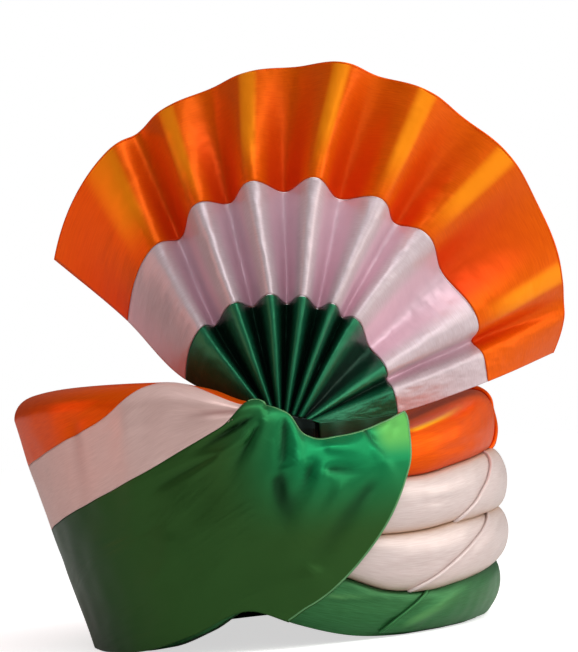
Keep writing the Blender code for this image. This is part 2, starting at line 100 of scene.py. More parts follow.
# Sections of the wound body. Columns: bearing in degrees, rim as a share of NOTCH_RISE, then
# the wall at the foot, waist and shoulder as shares of WOUND_WALL, and the rolls' crest as a
# share of BODY_HEIGHT.
BODY_SECTIONS = [
    (-180, 0.00, 0.80, 1.13, 1.13, 0.860),
    (-135, 0.00, 0.80, 1.24, 1.45, 0.900),
    (-90, 0.00, 0.81, 1.40, 1.93, 0.940),
    (-50, 0.00, 0.83, 1.22, 1.58, 0.955),
    (-26, 0.15, 0.80, 1.02, 1.20, 0.945),
    (-12, 0.50, 0.76, 0.95, 1.03, 0.850),
    (4, 1.00, 0.73, 0.93, 1.00, 0.745),
    (16, 0.58, 0.76, 0.98, 1.00, 0.735),
    (32, 0.16, 0.83, 1.10, 1.05, 0.725),
    (50, 0.00, 0.90, 1.23, 1.13, 0.745),
    (68, 0.00, 1.02, 1.31, 1.22, 0.790),
    (90, 0.00, 1.08, 1.35, 1.26, 0.860),
    (135, 0.00, 1.00, 1.29, 1.25, 0.860),
]

# Seams between the rolls, as shares of BODY_HEIGHT: green to lower white, lower to upper
# white, upper white to saffron.
ROLL_SEAMS = [
    (-180, 0.200, 0.400, 0.620),
    (-90, 0.220, 0.430, 0.650),
    (0, 0.330, 0.440, 0.600),
    (28, 0.250, 0.395, 0.580),
    (44, 0.170, 0.374, 0.575),
    (55, 0.157, 0.376, 0.577),
    (67, 0.170, 0.393, 0.600),
    (90, 0.203, 0.410, 0.632),
    (135, 0.200, 0.400, 0.625),
]

# The smooth wrap, along its cloth up from the floor, as shares of BODY_HEIGHT: the seam of
# green to white, the seam of white to saffron, and the wrap's upper edge.
WRAP_SEAMS = [
    (-160, 0.330, 0.640, 0.930),
    (-125, 0.390, 0.670, 0.955),
    (-90, 0.440, 0.695, 0.968),
    (-70, 0.465, 0.720, 0.982),
    (-45, 0.548, 0.800, 0.997),
    (-27, 0.633, 0.905, 0.994),
    (-20, 0.672, 0.985, 0.990),
    (-14, 0.712, 1.030, 0.985),
    (-8, 0.751, 0.990, 0.967),
    (-2, 0.790, 0.940, 0.945),
    (6, 0.842, 0.890, 0.900),
    (12, 0.866, 0.880, 0.886),
]

# The green stripe's upper edge right of the gather, where it dips under the fan.
GREEN_LIP = [
    (12, 0.866),
    (16, 0.876),
    (18.5, 0.862),
    (21, 0.805),
    (24, 0.778),
    (31, 0.775),
    (38, 0.788),
    (44, 0.812),
    (52, 0.850),
]

WRAP_REAR = {"foot": -150.0, "green_top": -143.0, "white_top": -136.0, "top": -128.0}
WRAP_TIP_BEARING = 12.0
WRAP_EDGE_FOOT = 14.0
WRAP_EDGE_TOP = 51.0
WRAP_EDGE_BEND = 1.6

# Cloth of the second turn, round the back, from the lowest roll up. Columns: colour, bearing
# where it starts at the foot and at the top of its roll, and the flat cloth's width.
BACK_TURNS = [
    ("green", 40.0, 56.0, 0.031),
    ("white_lower", 50.0, 84.0, 0.036),
    ("white_upper", 66.0, 87.0, 0.037),
    ("saffron", 96.0, 106.0, 0.055),
]
BACK_TURN_END = 232.0

# The fan's folds, seen from where it faces. Columns: place along the gather as a share of
# GATHER_WIDTH, depth as a share of PLEAT_DEPTH, the cloth's direction in degrees above the
# right-hand horizontal in the green, white and saffron stripes, and its backward lean there.
FAN_FOLDS = [
    (-0.54, 0.55, 152.4, 131.1, 136.2, 40.4, 40.0, 30.6),
    (-0.50, 0.00, 125.0, 118.0, 112.0, 26.0, 34.0, 17.0),
    (-0.43, 1.00, 117.0, 107.0, 108.0, 20.0, 30.0, 20.0),
    (-0.36, 0.00, 105.5, 106.5, 103.5, 12.0, 24.0, 24.0),
    (-0.29, 1.00, 98.0, 98.0, 95.5, 8.0, 19.0, 20.0),
    (-0.22, 0.00, 90.0, 95.5, 87.5, 3.0, 15.0, 17.0),
    (-0.15, 1.00, 83.5, 86.5, 80.0, 2.0, 11.0, 10.0),
    (-0.08, 0.00, 77.5, 79.5, 72.0, 1.0, 8.0, 4.0),
    (-0.01, 1.00, 71.0, 74.0, 67.0, 2.0, 11.0, 4.0),
    (0.06, 0.00, 65.5, 61.5, 61.5, 4.0, 14.0, 4.0),
    (0.13, 0.90, 60.5, 56.0, 51.5, 9.0, 17.0, 5.0),
    (0.21, 0.00, 55.0, 46.0, 41.0, 17.0, 19.0, 8.0),
    (0.29, 1.00, 43.0, 39.0, 31.0, 26.0, 20.0, 17.0),
    (0.36, 0.00, 27.2, 23.3, 26.1, 36.7, 24.8, 26.8),
    (0.43, 0.65, 23.0, 20.0, 19.5, 38.8, 31.0, 28.0),
    (0.50, 0.00, 14.6, 17.0, 18.7, 42.5, 31.0, 35.0),
    (0.62, 0.15, 2.4, 14.2, 18.3, 46.0, 31.5, 46.0),
]

# Pleat depth along the cloth, as shares of PLEAT_DEPTH: at the gather and at each stripe's
# outer edge; and how far the valleys' cloth is drawn in there, as shares of FAN_STRIPE.
PLEAT_SWELL = (0.12, 0.95, 0.85, 0.40)
VALLEY_DRAWN_IN = (0.00, 0.065, 0.10, 0.015)

# Soft folds of the smooth wrap, each from where it starts to where it fades out. Columns:
# bearing and height in millimetres of each end, half width in millimetres, and rise in
# millimetres (negative is a hollow).
WRAP_FOLDS = [
    (8.0, 116.0, -10.0, 98.5, 2.3, -3.2),
    (8.0, 109.0, -9.0, 92.0, 2.6, 2.2),
    (5.0, 120.0, -15.0, 121.0, 3.2, -2.2),
    (13.0, 119.0, 6.0, 84.0, 3.0, 1.5),
    (10.0, 112.0, 0.0, 84.0, 2.4, -2.0),
    (5.0, 104.0, -16.0, 84.0, 3.2, 1.5),
    (0.0, 100.0, -26.0, 80.0, 2.6, -1.6),
    (17.0, 114.0, 13.5, 62.0, 3.2, -2.6),
    (14.0, 86.0, 15.5, 58.0, 5.5, -2.4),
    (20.0, 106.0, 18.0, 58.0, 3.6, 1.8),
    (23.0, 92.0, 12.0, 48.0, 4.4, -2.0),
    (26.0, 90.0, 14.0, 40.0, 5.0, 1.6),
    (15.5, 90.0, 28.0, 99.0, 3.6, 1.6),
    (27.0, 99.0, 40.0, 97.0, 3.8, 1.8),
    (39.0, 98.0, 44.0, 72.0, 3.6, 1.8),
    (26.0, 88.0, 38.0, 85.0, 3.6, -1.8),
    (30.0, 80.0, 20.0, 48.0, 4.4, 1.3),
    (38.0, 112.0, 41.5, 86.0, 1.9, -2.6),
    (46.0, 114.0, 43.0, 94.0, 4.0, 1.7),
    (38.0, 80.0, 14.0, 28.0, 6.0, -1.5),
    (24.0, 36.0, -8.0, 22.0, 9.0, 1.4),
    (-24.0, 124.0, -28.0, 40.0, 9.0, 1.3),
    (-40.0, 120.0, -44.0, 50.0, 6.0, -1.1),
    (-16.0, 60.0, -26.0, 10.0, 10.0, 0.9),
]

# Soft folds of the rolls, with the same columns.
ROLL_FOLDS = [
    (52.0, 106.0, 84.0, 122.0, 2.6, 1.6),
    (60.0, 92.0, 100.0, 100.0, 4.0, -0.8),
    (52.0, 72.0, 96.0, 78.0, 7.0, 0.8),
    (50.0, 66.0, 92.0, 70.0, 2.6, -0.6),
    (44.0, 40.0, 84.0, 52.0, 6.0, 0.7),
    (40.0, 34.0, 80.0, 36.0, 2.4, -0.5),
    (24.0, 25.0, 44.0, 20.0, 1.5, 1.3),
    (26.0, 21.0, 52.0, 15.0, 2.2, -1.3),
    (42.0, 7.0, 64.0, 22.0, 2.4, -1.5),
    (48.0, 6.0, 74.0, 24.0, 3.2, 1.2),
    (122.0, 98.0, 190.0, 94.0, 5.0, -1.1),
    (130.0, 66.0, 210.0, 74.0, 7.0, 1.0),
    (125.0, 40.0, 205.0, 44.0, 6.0, -0.8),
    (112.0, 10.0, 180.0, 20.0, 5.0, 1.0),
]

ARC_MM_PER_DEG = 1.95
SEED = 7

# Irregular relief of the cloth: its height, the size of its waves, and the radius that turns
# a bearing into a length of cloth.
ROLL_CRUMPLE, ROLL_CRUMPLE_SIZE, ROLL_RADIUS = 0.0005, 0.045, 0.11
WRAP_CRUMPLE, WRAP_CRUMPLE_SIZE, WRAP_RADIUS = 0.0007, 0.09, 0.12

# The wrap leans in towards its lip under the fan, and its folds flatten near its upper edge.
LIP_LEAN = 0.0055
LIP_LEAN_START = 0.086
LIP_LEAN_RUN = 0.024
LIP_FLAT_RUN = 0.012
LIP_LEAN_BEARING, LIP_LEAN_TURN = 12.0, 12.0

# Where the wrap's columns begin to bend over to the right, and in how many degrees.
BEND_BEARING, BEND_TURN = -20.0, 30.0

# The end of the saffron stripe is turned in at least this far.
TURNED_IN_LEAST = 0.004

# Painted light on the wrap: a lighter olive front where the left and back stay dark as painted
# shade, a painted
# # emerald sheen over the upper front, a painted highlight at the upper right corner, and the
# strength of that painted
# # highlight and of the painted shade in hollows. The bearing where each tone begins and the degrees
# it takes, then the
# # height along the cloth where it begins and the metres it takes.
PAINTED_OLIVE_LIGHT = (-60.0, 40.0)
PAINTED_SHEEN_BAND = (-2.0, 26.0, 0.052, 0.045)
PAINTED_CORNER_HIGHLIGHT = (39.0, 5.0, 0.090, 0.012)
PAINTED_CORNER_STRENGTH = 0.42
PAINTED_HOLLOW_SHADE = 0.75

# Where the second turn's lowest cloth starts above the rim, as a share of its roll.
FOOT_SHARE = 0.067

# How far a fold rises before its painted highlight is full, and sinks before its painted shade is
# full.
RIDGE_RELIEF = 0.0013
HOLLOW_RELIEF = 0.0022

# At the pinch, the green laps over the tips of the two other stripes.
PINCH_BEARING = 10.0
PINCH_SPREAD = 4.5
PINCH_LAP = 0.011
PINCH_LIFT = 0.0022

# How thick the cloth is drawn, as shares of the solids' thickness.
CROWN_DRAWN, SECOND_TURN_DRAWN, WRAP_DRAWN = 0.6, 0.7, 0.6

# Hems and stitches
HEM_RADIUS = 0.0011
FAN_HEM_RADIUS = 0.0006
HEM_INSET = 0.0006
TURNED_EDGE_DROP = 0.0115
TURNED_EDGE_SWAY = 0.0012
TURNED_EDGE_WAVES = 260.0
STITCH_LENGTH = 0.0016
STITCH_PITCH = 0.0062
STITCH_INSET = 0.0012
STITCHES_FROM, STITCHES_TO = -16.0, 6.0
SEWING_THREAD_RADIUS = 0.00018

# How finely the pieces are drawn
ROLL_COLUMNS = 300
ROLL_ROWS = 25
BACK_COLUMNS = 150
CREST_STEPS = 14
WRAP_COLUMNS = 150
WRAP_RIGHT_COLUMNS = 70
CROWN_COLUMNS = 180
CROWN_WALL_ROWS = 8
DOME_ROWS = 26
COLUMNS_PER_FOLD = 28
FAN_ROWS = 60
GATHER_COLUMNS = 96
GATHER_ROWS = 14

# Finer shape of the fan and its gathered foot
RIDGE_ROUNDNESS = 1.15
FAN_SEAM_GAP = 0.0004
GATHER_START = 0.0012
GATHER_BUNDLE_DEPTH = 0.012
GATHER_GIRTH = 0.07
GATHER_FOOT = 0.62
GATHER_FLARE = 0.14
GATHER_FOLDS = 9
GATHER_FOLD_DEPTH = 0.07
GATHER_TWIST = 1.5
FAN_CLOTH_WIDTH = 0.60
ACROSS_PER_FOLD = 0.030
FAN_RIPPLES = 45.0
FAN_RIPPLE_HEIGHT = 0.0035
RIGHT_FLAP_FROM = 14.6

# The wrap's flat cloth. Columns: cloth, roll under it, width and length, and area where the
# cut isn't a rectangle.
WRAP_CUTS = [
    ("green", "green", (0.098, 0.42), 0.031),
    ("white", "white_upper", (0.040, 0.32), None),
    ("saffron", "saffron", (0.065, 0.30), None),
]

# The fan's stripes. Columns: cloth, where it starts and ends along the cloth, how far the painted
# shade of its valleys
# # fades out, and the flat cloth's width and area.
SEAM = FAN_SEAM_GAP / 2
FAN_STRIPES = [
    ("green", GATHER_START, FAN_STRIPE - SEAM, 0.25, 0.32, 0.0145),
    ("white", FAN_STRIPE + SEAM, 2 * FAN_STRIPE - SEAM, 0.3, 0.45, 0.0255),
    ("saffron", 2 * FAN_STRIPE + SEAM, 3 * FAN_STRIPE, 1.0, 0.47, 0.0285),
]

# The satin's threads are about 0.15 mm apart, drawn four times coarser so that they show.
THREAD_MM = 0.6

# Softboxes. Columns: name, bearing, elevation, distance, width, height, watts and colour.
SOFTBOXES = [
    ("key_softbox", 68.0, 38.0, 1.3, 1.2, 1.0, 5.4, (1.0, 0.97, 0.92)),
    ("right_low_softbox", 100.0, 8.0, 1.3, 0.6, 0.8, 4.2, (1.0, 0.95, 0.88)),
    ("top_strip", 26.0, 52.0, 1.2, 1.0, 0.35, 3.3, (0.92, 0.95, 1.0)),
    ("front_right_strip", 38.0, 20.0, 1.5, 0.5, 0.9, 1.5, (1.0, 1.0, 1.0)),
    ("front_fill", 4.0, 12.0, 1.8, 0.9, 0.9, 1.1, (1.0, 0.82, 0.80)),
    ("warm_left", -75.0, 6.0, 0.9, 0.4, 0.6, 1.2, (1.0, 0.36, 0.26)),
]
AIM_HEIGHT = 0.14
FLOOR_REACH = 6.0
FLOOR_GAP = 0.0002
FLOOR_GLOW = 0.62
SURROUND_DIM = 0.06
SURROUND_RIGHT = 0.50
SURROUND_ABOVE = 0.40

# Camera
CAMERA_AZIMUTH = 12.0
CAMERA_ELEVATION = -2.0
CAMERA_ROLL = -4.5
CAMERA_DISTANCE = 1.35
CAMERA_LENS_MM = 135.5
CAMERA_SENSOR_MM = 36.0
TARGET_RIGHT = 0.0119
TARGET_HEIGHT = 0.165


def column_curve(rows, column, period=360.0):
    """A smooth curve through one column of a table that is sorted by bearing. With a period
    the curve closes on itself; without one it holds its end values."""
    keys = np.array([row[0] for row in rows], float)
    values = np.array([row[column] for row in rows], float)
    if period:
        keys = np.concatenate([keys[-2:] - period, keys, keys[:2] + period])
        values = np.concatenate([values[-2:], values, values[:2]])
    slopes = np.gradient(values, keys)

    def curve(bearing):
        x = np.asarray(bearing, float)
        if period:
            x = (x - keys[2]) % period + keys[2]
        x = np.clip(x, keys[0], keys[-1])
        i = np.clip(np.searchsorted(keys, x, side="right") - 1, 0, len(keys) - 2)
        span = keys[i + 1] - keys[i]
        t = (x - keys[i]) / span
        return (
            values[i] * (1 + 2 * t) * (1 - t) ** 2
            + slopes[i] * span * t * (1 - t) ** 2
            + values[i + 1] * t * t * (3 - 2 * t)
            + slopes[i + 1] * span * t * t * (t - 1)
        )

    return curve


body_curves = [column_curve(BODY_SECTIONS, k) for k in range(1, 6)]
rim_share, foot_wall, waist_wall, shoulder_wall, crest_share = body_curves
roll_seams = [column_curve(ROLL_SEAMS, k) for k in (1, 2, 3)]
wrap_curves = [column_curve(WRAP_SEAMS, k, period=None) for k in (1, 2, 3)]
wrap_green_top, wrap_white_top, wrap_crest = wrap_curves
green_lip = column_curve(GREEN_LIP, 1, period=None)


def smoothstep(x):
    t = np.clip(x, 0.0, 1.0)
    return t * t * (3 - 2 * t)


def setting_in(x, start, run):
    """0 up to start, and 1 from start + run on."""
    return smoothstep((x - start) / run)


def on_ring(bearing, half_width, half_length, height):
    """The point at a bearing on an ellipse round the head."""
    a = np.radians(bearing)
    ring = np.broadcast_arrays(half_width * np.sin(a), -half_length * np.cos(a), height)
    return np.stack(ring, -1) + HEAD_MIDDLE


def rim_height(bearing):
    return np.maximum(rim_share(bearing), 0.0) * NOTCH_RISE


def rolls_crest(bearing):
    return crest_share(bearing) * BODY_HEIGHT


def wall_at(bearing, height):
    """How far the rolls reach out from the head opening at a height."""
    foot, waist, shoulder = foot_wall(bearing), waist_wall(bearing), shoulder_wall(bearing)
    t = height / BODY_HEIGHT
    low = (t - WAIST_AT) * (t - SHOULDER_AT) / (FOOT_AT - WAIST_AT) / (FOOT_AT - SHOULDER_AT)
    middle = (t - FOOT_AT) * (t - SHOULDER_AT) / (WAIST_AT - FOOT_AT) / (WAIST_AT - SHOULDER_AT)
    high = (t - FOOT_AT) * (t - WAIST_AT) / (SHOULDER_AT - FOOT_AT) / (SHOULDER_AT - WAIST_AT)
    return (foot * low + waist * middle + shoulder * high) * WOUND_WALL


def crown_axes(height, clear):
    """Half width and half length of the crown's outside at a height, with a clearance."""
    rise = np.clip((height - CROWN_WALL_HEIGHT) / (CROWN_TOP - CROWN_WALL_HEIGHT), 0.0, 0.999)
    share = np.sqrt(1 - rise**2)
    return (
        (HEAD_HALF_WIDTH + CROWN_CLOTH) * share + clear,
        (HEAD_HALF_LENGTH + CROWN_CLOTH) * share + clear,
    )


def contour(bearing, along, out, crest):
    """A point of the body's outside: up the side, over the crest and down the bowl towards
    the crown. along is the height on the side and goes on as length of cloth past it; out is
    the distance outside the rolls."""
    bearing, along = np.broadcast_arrays(np.asarray(bearing, float), np.asarray(along, float))
    turn_start = crest - TURN_RADIUS
    turned = np.clip((along - turn_start) / TURN_RADIUS, 0.0, math.pi / 2)
    slope_start = turn_start + TURN_RADIUS * math.pi / 2
    side = np.minimum(along, turn_start)
    wall = wall_at(bearing, side) + out - TURN_RADIUS * (1 - np.cos(turned))
    height = side + TURN_RADIUS * np.sin(turned)
    half_width, half_length = HEAD_HALF_WIDTH + wall, HEAD_HALF_LENGTH + wall
    end_width, end_length = crown_axes(BOWL_END_HEIGHT, LAYER_GAP + out)
    run = np.maximum(half_width - end_width, 0.001)
    down = np.clip((along - slope_start) / run, 0.0, 1.0)
    fall = crest - BOWL_END_HEIGHT - out
    return on_ring(
        bearing,
        half_width + (end_width - half_width) * down,
        half_length + (end_length - half_length) * down,
        height - fall * down**BOWL_HOLLOW,
    )


def fold_relief(bearing, height_mm, folds):
    """How far soft folds raise the cloth, in metres. Each fold rises quickly at its first end
    and fades out towards its second, widening as it goes."""
    x = np.asarray(bearing, float) * ARC_MM_PER_DEG
    z = np.asarray(height_mm, float)
    raised = np.zeros(np.broadcast(x, z).shape)
    for bearing_0, z_0, bearing_1, z_1, half_width, rise in folds:
        x_0, x_1 = bearing_0 * ARC_MM_PER_DEG, bearing_1 * ARC_MM_PER_DEG
        length_2 = (x_1 - x_0) ** 2 + (z_1 - z_0) ** 2
        t = ((x - x_0) * (x_1 - x_0) + (z - z_0) * (z_1 - z_0)) / length_2
        off = ((x - x_0) * (z_1 - z_0) - (z - z_0) * (x_1 - x_0)) / math.sqrt(length_2)
        width = half_width * (0.6 + 0.8 * np.clip(t, 0, 1))
        strength = smoothstep(t / 0.2 + 0.5) * (1 - smoothstep(t))
        raised += rise * strength * np.exp(-((off / width) ** 2))
    return raised / 1000


def crumple(across, along, size, seed):
    """A smooth irregular relief between about -1 and 1; across and along are in metres."""
    generator = np.random.default_rng(SEED + seed)
    total = np.zeros(np.broadcast(across, along).shape)
    for octave, weight in ((1.0, 0.5), (1.9, 0.3), (3.7, 0.2)):
        for _ in range(3):
            turn, phase, stretch = generator.uniform(0, 1, 3)
            a = math.radians(-35 + 70 * turn)
            waves = 2 * math.pi * octave / (size * (0.8 + 0.4 * stretch))
            total += weight / 3 * np.sin(
                waves * (across * math.cos(a) + along * math.sin(a)) + 2 * math.pi * phase
                + 1.3 * np.sin(0.6 * waves * (along * math.cos(a) - across * math.sin(a)))
            )
    return total * 1.6


# Meshes
def put_in(name, data):
    """An object of this data, put in the scene."""
    made = bpy.data.objects.new(name, data)
    bpy.context.scene.collection.objects.link(made)
    return made


def skin(name, points, across, along, closed_columns=False, closed_rows=False):
    """A mesh of quads over a grid of points, columns x rows x 3, with a UV map in metres of
    cloth: across each column and along each row."""
    columns, rows = points.shape[:2]
    last_column = columns if closed_columns else columns - 1
    last_row = rows if closed_rows else rows - 1
    faces, corners = [], []
    for i in range(last_column):
        for j in range(last_row):
            i2, j2 = (i + 1) % columns, (j + 1) % rows
            faces.append((i * rows + j, i2 * rows + j, i2 * rows + j2, i * rows + j2))
            corners += [
                (across[i], along[j]),
                (across[i + 1], along[j]),
                (across[i + 1], along[j + 1]),
                (across[i], along[j + 1]),
            ]
    mesh = bpy.data.meshes.new(name)
    mesh.from_pydata(points.reshape(-1, 3).tolist(), [], faces)
    uv_map = mesh.uv_layers.new(name="cloth")
    uv_map.data.foreach_set("uv", np.array(corners, np.float32).ravel())
    mesh.shade_smooth()
    return put_in(name, mesh)


def keep_share(piece, label, shares):
    """Stores a share at each point of a piece, for its material to read."""
    field = piece.data.attributes.new(label, "FLOAT", "POINT")
    field.data.foreach_set("value", np.ascontiguousarray(shares, dtype=np.float32).ravel())


def arc_lengths(points, axis):
    """Distance along a grid's middle line, from its first column or row."""
    middle = np.take(points, points.shape[1 - axis] // 2, axis=1 - axis)
    steps = np.linalg.norm(np.diff(middle, axis=0), axis=1)
    return np.concatenate([[0.0], np.cumsum(steps)])


def thicken(piece, thickness):
    """Gives cloth its thickness, half of it on each side."""
    wall = piece.modifiers.new("cloth thickness", "SOLIDIFY")
    wall.thickness = thickness
    wall.offset = 0.0
    return piece


def sheet_of(name, points, thickness, material):
    """Cloth of even thickness round a grid of points."""
    piece = skin(name, points, arc_lengths(points, 0), arc_lengths(points, 1))
    piece.data.materials.append(material)
    return thicken(piece, thickness)


def closed_ring(name, sections, material):
    """A solid ring of closed sections, columns x points x 3."""
    round_it = arc_lengths(sections, 0)
    over_it = arc_lengths(sections, 1)
    across = np.append(round_it, round_it[-1] + round_it[1])
    along = np.append(over_it, over_it[-1] + over_it[1])
    piece = skin(name, sections, across, along, closed_columns=True, closed_rows=True)
    piece.data.materials.append(material)
    return piece


# Wound rolls
ROLLS = ["green", "white_lower", "white_upper", "saffron"]


def bulge(share):
    """1 in the middle of a roll and 0 at its creases."""
    return np.sqrt(np.clip(1 - (2 * share - 1) ** 2, 0.0, 1.0))


def roll_height(roll, bearing, share, out):
    """Height on a roll, from its lower seam at share 0 to its upper one at 1."""
    lower = rim_height(bearing) if roll == 0 else roll_seams[roll - 1](bearing) * BODY_HEIGHT
    top = rolls_crest(bearing) - TURN_RADIUS
    upper = top if roll == 3 else roll_seams[roll](bearing) * BODY_HEIGHT
    if roll == 0:
        lower = lower + HEM_LIFT * (np.asarray(out) > 0)
    return lower + (upper - lower) * share


def roll_swell(roll, share):
    """1 where a roll is fullest and 0 in the creases beside it."""
    if roll == 0:
        return bulge(0.5 * share + 0.5)
    if roll == 3:
        return bulge(0.5 * share)
    return bulge(share)


def roll_side(roll, bearing, share, out):
    """The outside of a roll, from its lower seam at share 0 to its upper one at 1."""
    height = roll_height(roll, bearing, share, out)
    swell = roll_swell(roll, share)
    tuck = RIM_ROUNDING * (1 - share) ** 3 if roll == 0 else 0.0
    soft = fold_relief(bearing, height * 1000, ROLL_FOLDS) * swell
    across = np.radians(bearing) * ROLL_RADIUS
    soft = soft + ROLL_CRUMPLE * swell * crumple(across, height, ROLL_CRUMPLE_SIZE, roll)
    pulled = -ROLL_CREASE * (1 - swell) - tuck + soft
    return contour(bearing, height, out + pulled, rolls_crest(bearing) + out)


def over_the_crest(cloth, bearing, out, reach):
    """The saffron roll's cloth carried on over its crest towards the crown. cloth is its
    points, bearings, distances along the cloth and swell so far."""
    crest = rolls_crest(bearing) + out
    first = crest - TURN_RADIUS
    steps = range(1, CREST_STEPS + 1)
    turn = [first + TURN_RADIUS * math.pi / 2 * step / CREST_STEPS for step in steps]
    slope = [turn[-1] + reach * step / CREST_STEPS for step in steps]
    distances = np.stack(turn + slope, 1)
    b = np.broadcast_to(np.asarray(bearing)[:, None], distances.shape)
    soft = fold_relief(b, distances * 1000, ROLL_FOLDS)
    across = np.radians(b) * ROLL_RADIUS
    soft = soft + ROLL_CRUMPLE * crumple(across, distances, ROLL_CRUMPLE_SIZE, 3)
    fade = 1 - smoothstep((distances - turn[-1][:, None]) / CREST_RUN)
    outwards = np.broadcast_to(np.asarray(out), np.shape(bearing))[:, None]
    points = contour(b, distances, outwards + soft * fade, crest[:, None])
    more = (points, b, distances, np.ones_like(distances))
    return [np.concatenate(pair, axis=1) for pair in zip(cloth, more)]


def keep_roll_shares(piece, cloth, rows):
    """Stores painted shade where a roll's cloth lies in a crease and a painted highlight where a
    fold raises it. rows is how many points each section of the piece has."""
    bearing, height, swell = cloth[1:]
    relief = fold_relief(bearing, height * 1000, ROLL_FOLDS)
    for label, values in (
        ("painted_fold_shade", (1 - swell) ** 2),
        ("painted_ridge_highlight", smoothstep(relief / RIDGE_RELIEF) * swell),
    ):
        whole = np.zeros((height.shape[0], rows))
        whole[:, : height.shape[1]] = values
        keep_share(piece, label, whole)


def make_roll(roll, material):
    """One roll of the first turn, all the way round, wound on to the crown."""
    bearings = np.arange(ROLL_COLUMNS) * 360.0 / ROLL_COLUMNS
    shares = (1 - np.cos(np.linspace(0, math.pi, ROLL_ROWS))) / 2
    b, s = np.meshgrid(bearings, shares, indexing="ij")
    cloth = (roll_side(roll, b, s, 0.0), b, roll_height(roll, b, s, 0.0), roll_swell(roll, s))
    if roll == 3:
        reach = HEAD_HALF_WIDTH + wall_at(bearings, rolls_crest(bearings) - TURN_RADIUS)
        reach = reach - TURN_RADIUS - crown_axes(BOWL_END_HEIGHT, LAYER_GAP)[0]
        cloth = over_the_crest(cloth, bearings, 0.0, reach)
    side = cloth[0]
    inner = []
    for t in np.linspace(0, 1, 5)[1 if roll == 3 else 0 :]:
        level = side[:, -1, 2] * (1 - t) + side[:, 0, 2] * t
        half_width, half_length = crown_axes(level, LAYER_GAP)
        inner.append(on_ring(bearings, half_width, half_length, level))
    sections = np.concatenate([side, np.stack(inner, 1)], axis=1)
    piece = closed_ring("wound_roll_" + ROLLS[roll], sections, material)
    keep_roll_shares(piece, cloth, sections.shape[1])
    return piece


def make_back_turn(roll, start_foot, start_top, material):
    """Cloth of the second turn over one roll, from its slanted free edge to where the wrap
    covers it."""
    shares = (1 - np.cos(np.linspace(0, math.pi, ROLL_ROWS))) / 2
    if roll == 0:
        shares = FOOT_SHARE + (1 - FOOT_SHARE) * shares
    run = np.linspace(0, 1, BACK_COLUMNS)
    c, s = np.meshgrid(run, shares, indexing="ij")
    b = start_foot + (start_top - start_foot) * s
    b = b + (BACK_TURN_END - b) * c
    out = SHEET_CLOTH * 0.45 + (LAYER_GAP + SHEET_CLOTH * 0.05) * smoothstep(c / 0.05)
    cloth = (roll_side(roll, b, s, out), b, roll_height(roll, b, s, out), roll_swell(roll, s))
    if roll == 3:
        top = start_top + (BACK_TURN_END - start_top) * run
        cloth = over_the_crest(cloth, top, out[:, 0], TURNED_IN)
    points = cloth[0]
    piece = sheet_of("second_turn_" + ROLLS[roll], points, SHEET_CLOTH * SECOND_TURN_DRAWN, material)
    keep_roll_shares(piece, cloth, points.shape[1])
    return piece, points[0]


# Smooth wrap
def wrap_foot(bearing):
    return rim_height(bearing) + HEM_LIFT


def green_seam(bearing):
    return wrap_green_top(bearing) * BODY_HEIGHT


def white_seam(bearing):
    return wrap_white_top(bearing) * BODY_HEIGHT


def wrap_lift(bearing):
    """The wrap rises over the second turn's ends at the left of the back."""
    return (SHEET_CLOTH + LAYER_GAP) * smoothstep((-104.0 - bearing) / 20.0)


def pinch(bearing):
    """1 where the stripes are pinched together under the fan, and 0 away from it."""
    return np.exp(-(((np.asarray(bearing, float) - PINCH_BEARING) / PINCH_SPREAD) ** 2))


def wrap_point(bearing, along, raised=0.0):
    """A point in the middle of the wrap's cloth, at a bearing and a distance up along it."""
    crest = np.where(bearing <= WRAP_TIP_BEARING, wrap_crest(bearing), green_lip(bearing))
    crest = crest * BODY_HEIGHT - SHEET_CLOTH / 2
    lift = wrap_lift(bearing)
    flat = smoothstep((crest - along) / LIP_FLAT_RUN)
    soft = fold_relief(bearing, along * 1000, WRAP_FOLDS) * (0.35 + 0.65 * flat)
    across = np.radians(bearing) * WRAP_RADIUS
    soft = soft + WRAP_CRUMPLE * crumple(across, along, WRAP_CRUMPLE_SIZE, 3) * flat
    leaning = smoothstep((bearing - LIP_LEAN_BEARING) / LIP_LEAN_TURN)
    soft = soft - LIP_LEAN * leaning * smoothstep((along - LIP_LEAN_START) / LIP_LEAN_RUN)
    out = LAYER_GAP + SHEET_CLOTH / 2 + lift + raised
    return contour(bearing, along, out + soft, crest + lift + raised)


def slant(share, low):
    """How far a column of the wrap has gone towards its upper bearing at a share of its
    height: straight at the back, and bending over to the right at the free front edge."""
    bent = 1 - (1 - share) ** WRAP_EDGE_BEND
    return share + (bent - share) * smoothstep((low - BEND_BEARING) / BEND_TURN)


def green_top(bearing):
    """The green stripe's upper edge: the seam at the left, and the curled lip at the right."""
    left = green_seam(bearing)
    right = green_lip(bearing) * BODY_HEIGHT - TURN_RADIUS + CURL_IN
    blend = smoothstep((bearing - WRAP_TIP_BEARING + 8.0) / 8.0)
    return left + (right - left) * blend + PINCH_LAP * pinch(bearing)


def turned_end(bearing):
    """The end of the saffron stripe, turned in over the crest."""
    crest = wrap_crest(bearing) * BODY_HEIGHT
    slope_start = crest + TURN_RADIUS * (math.pi / 2 - 1)
    narrow = smoothstep((WRAP_TIP_BEARING - bearing) / 40.0)
    full = slope_start + TURNED_IN_LEAST + (TURNED_IN - TURNED_IN_LEAST) * narrow
    seam = white_seam(bearing)
    return seam + (full - seam) * smoothstep((WRAP_TIP_BEARING - bearing) / 9.0 + 0.12)


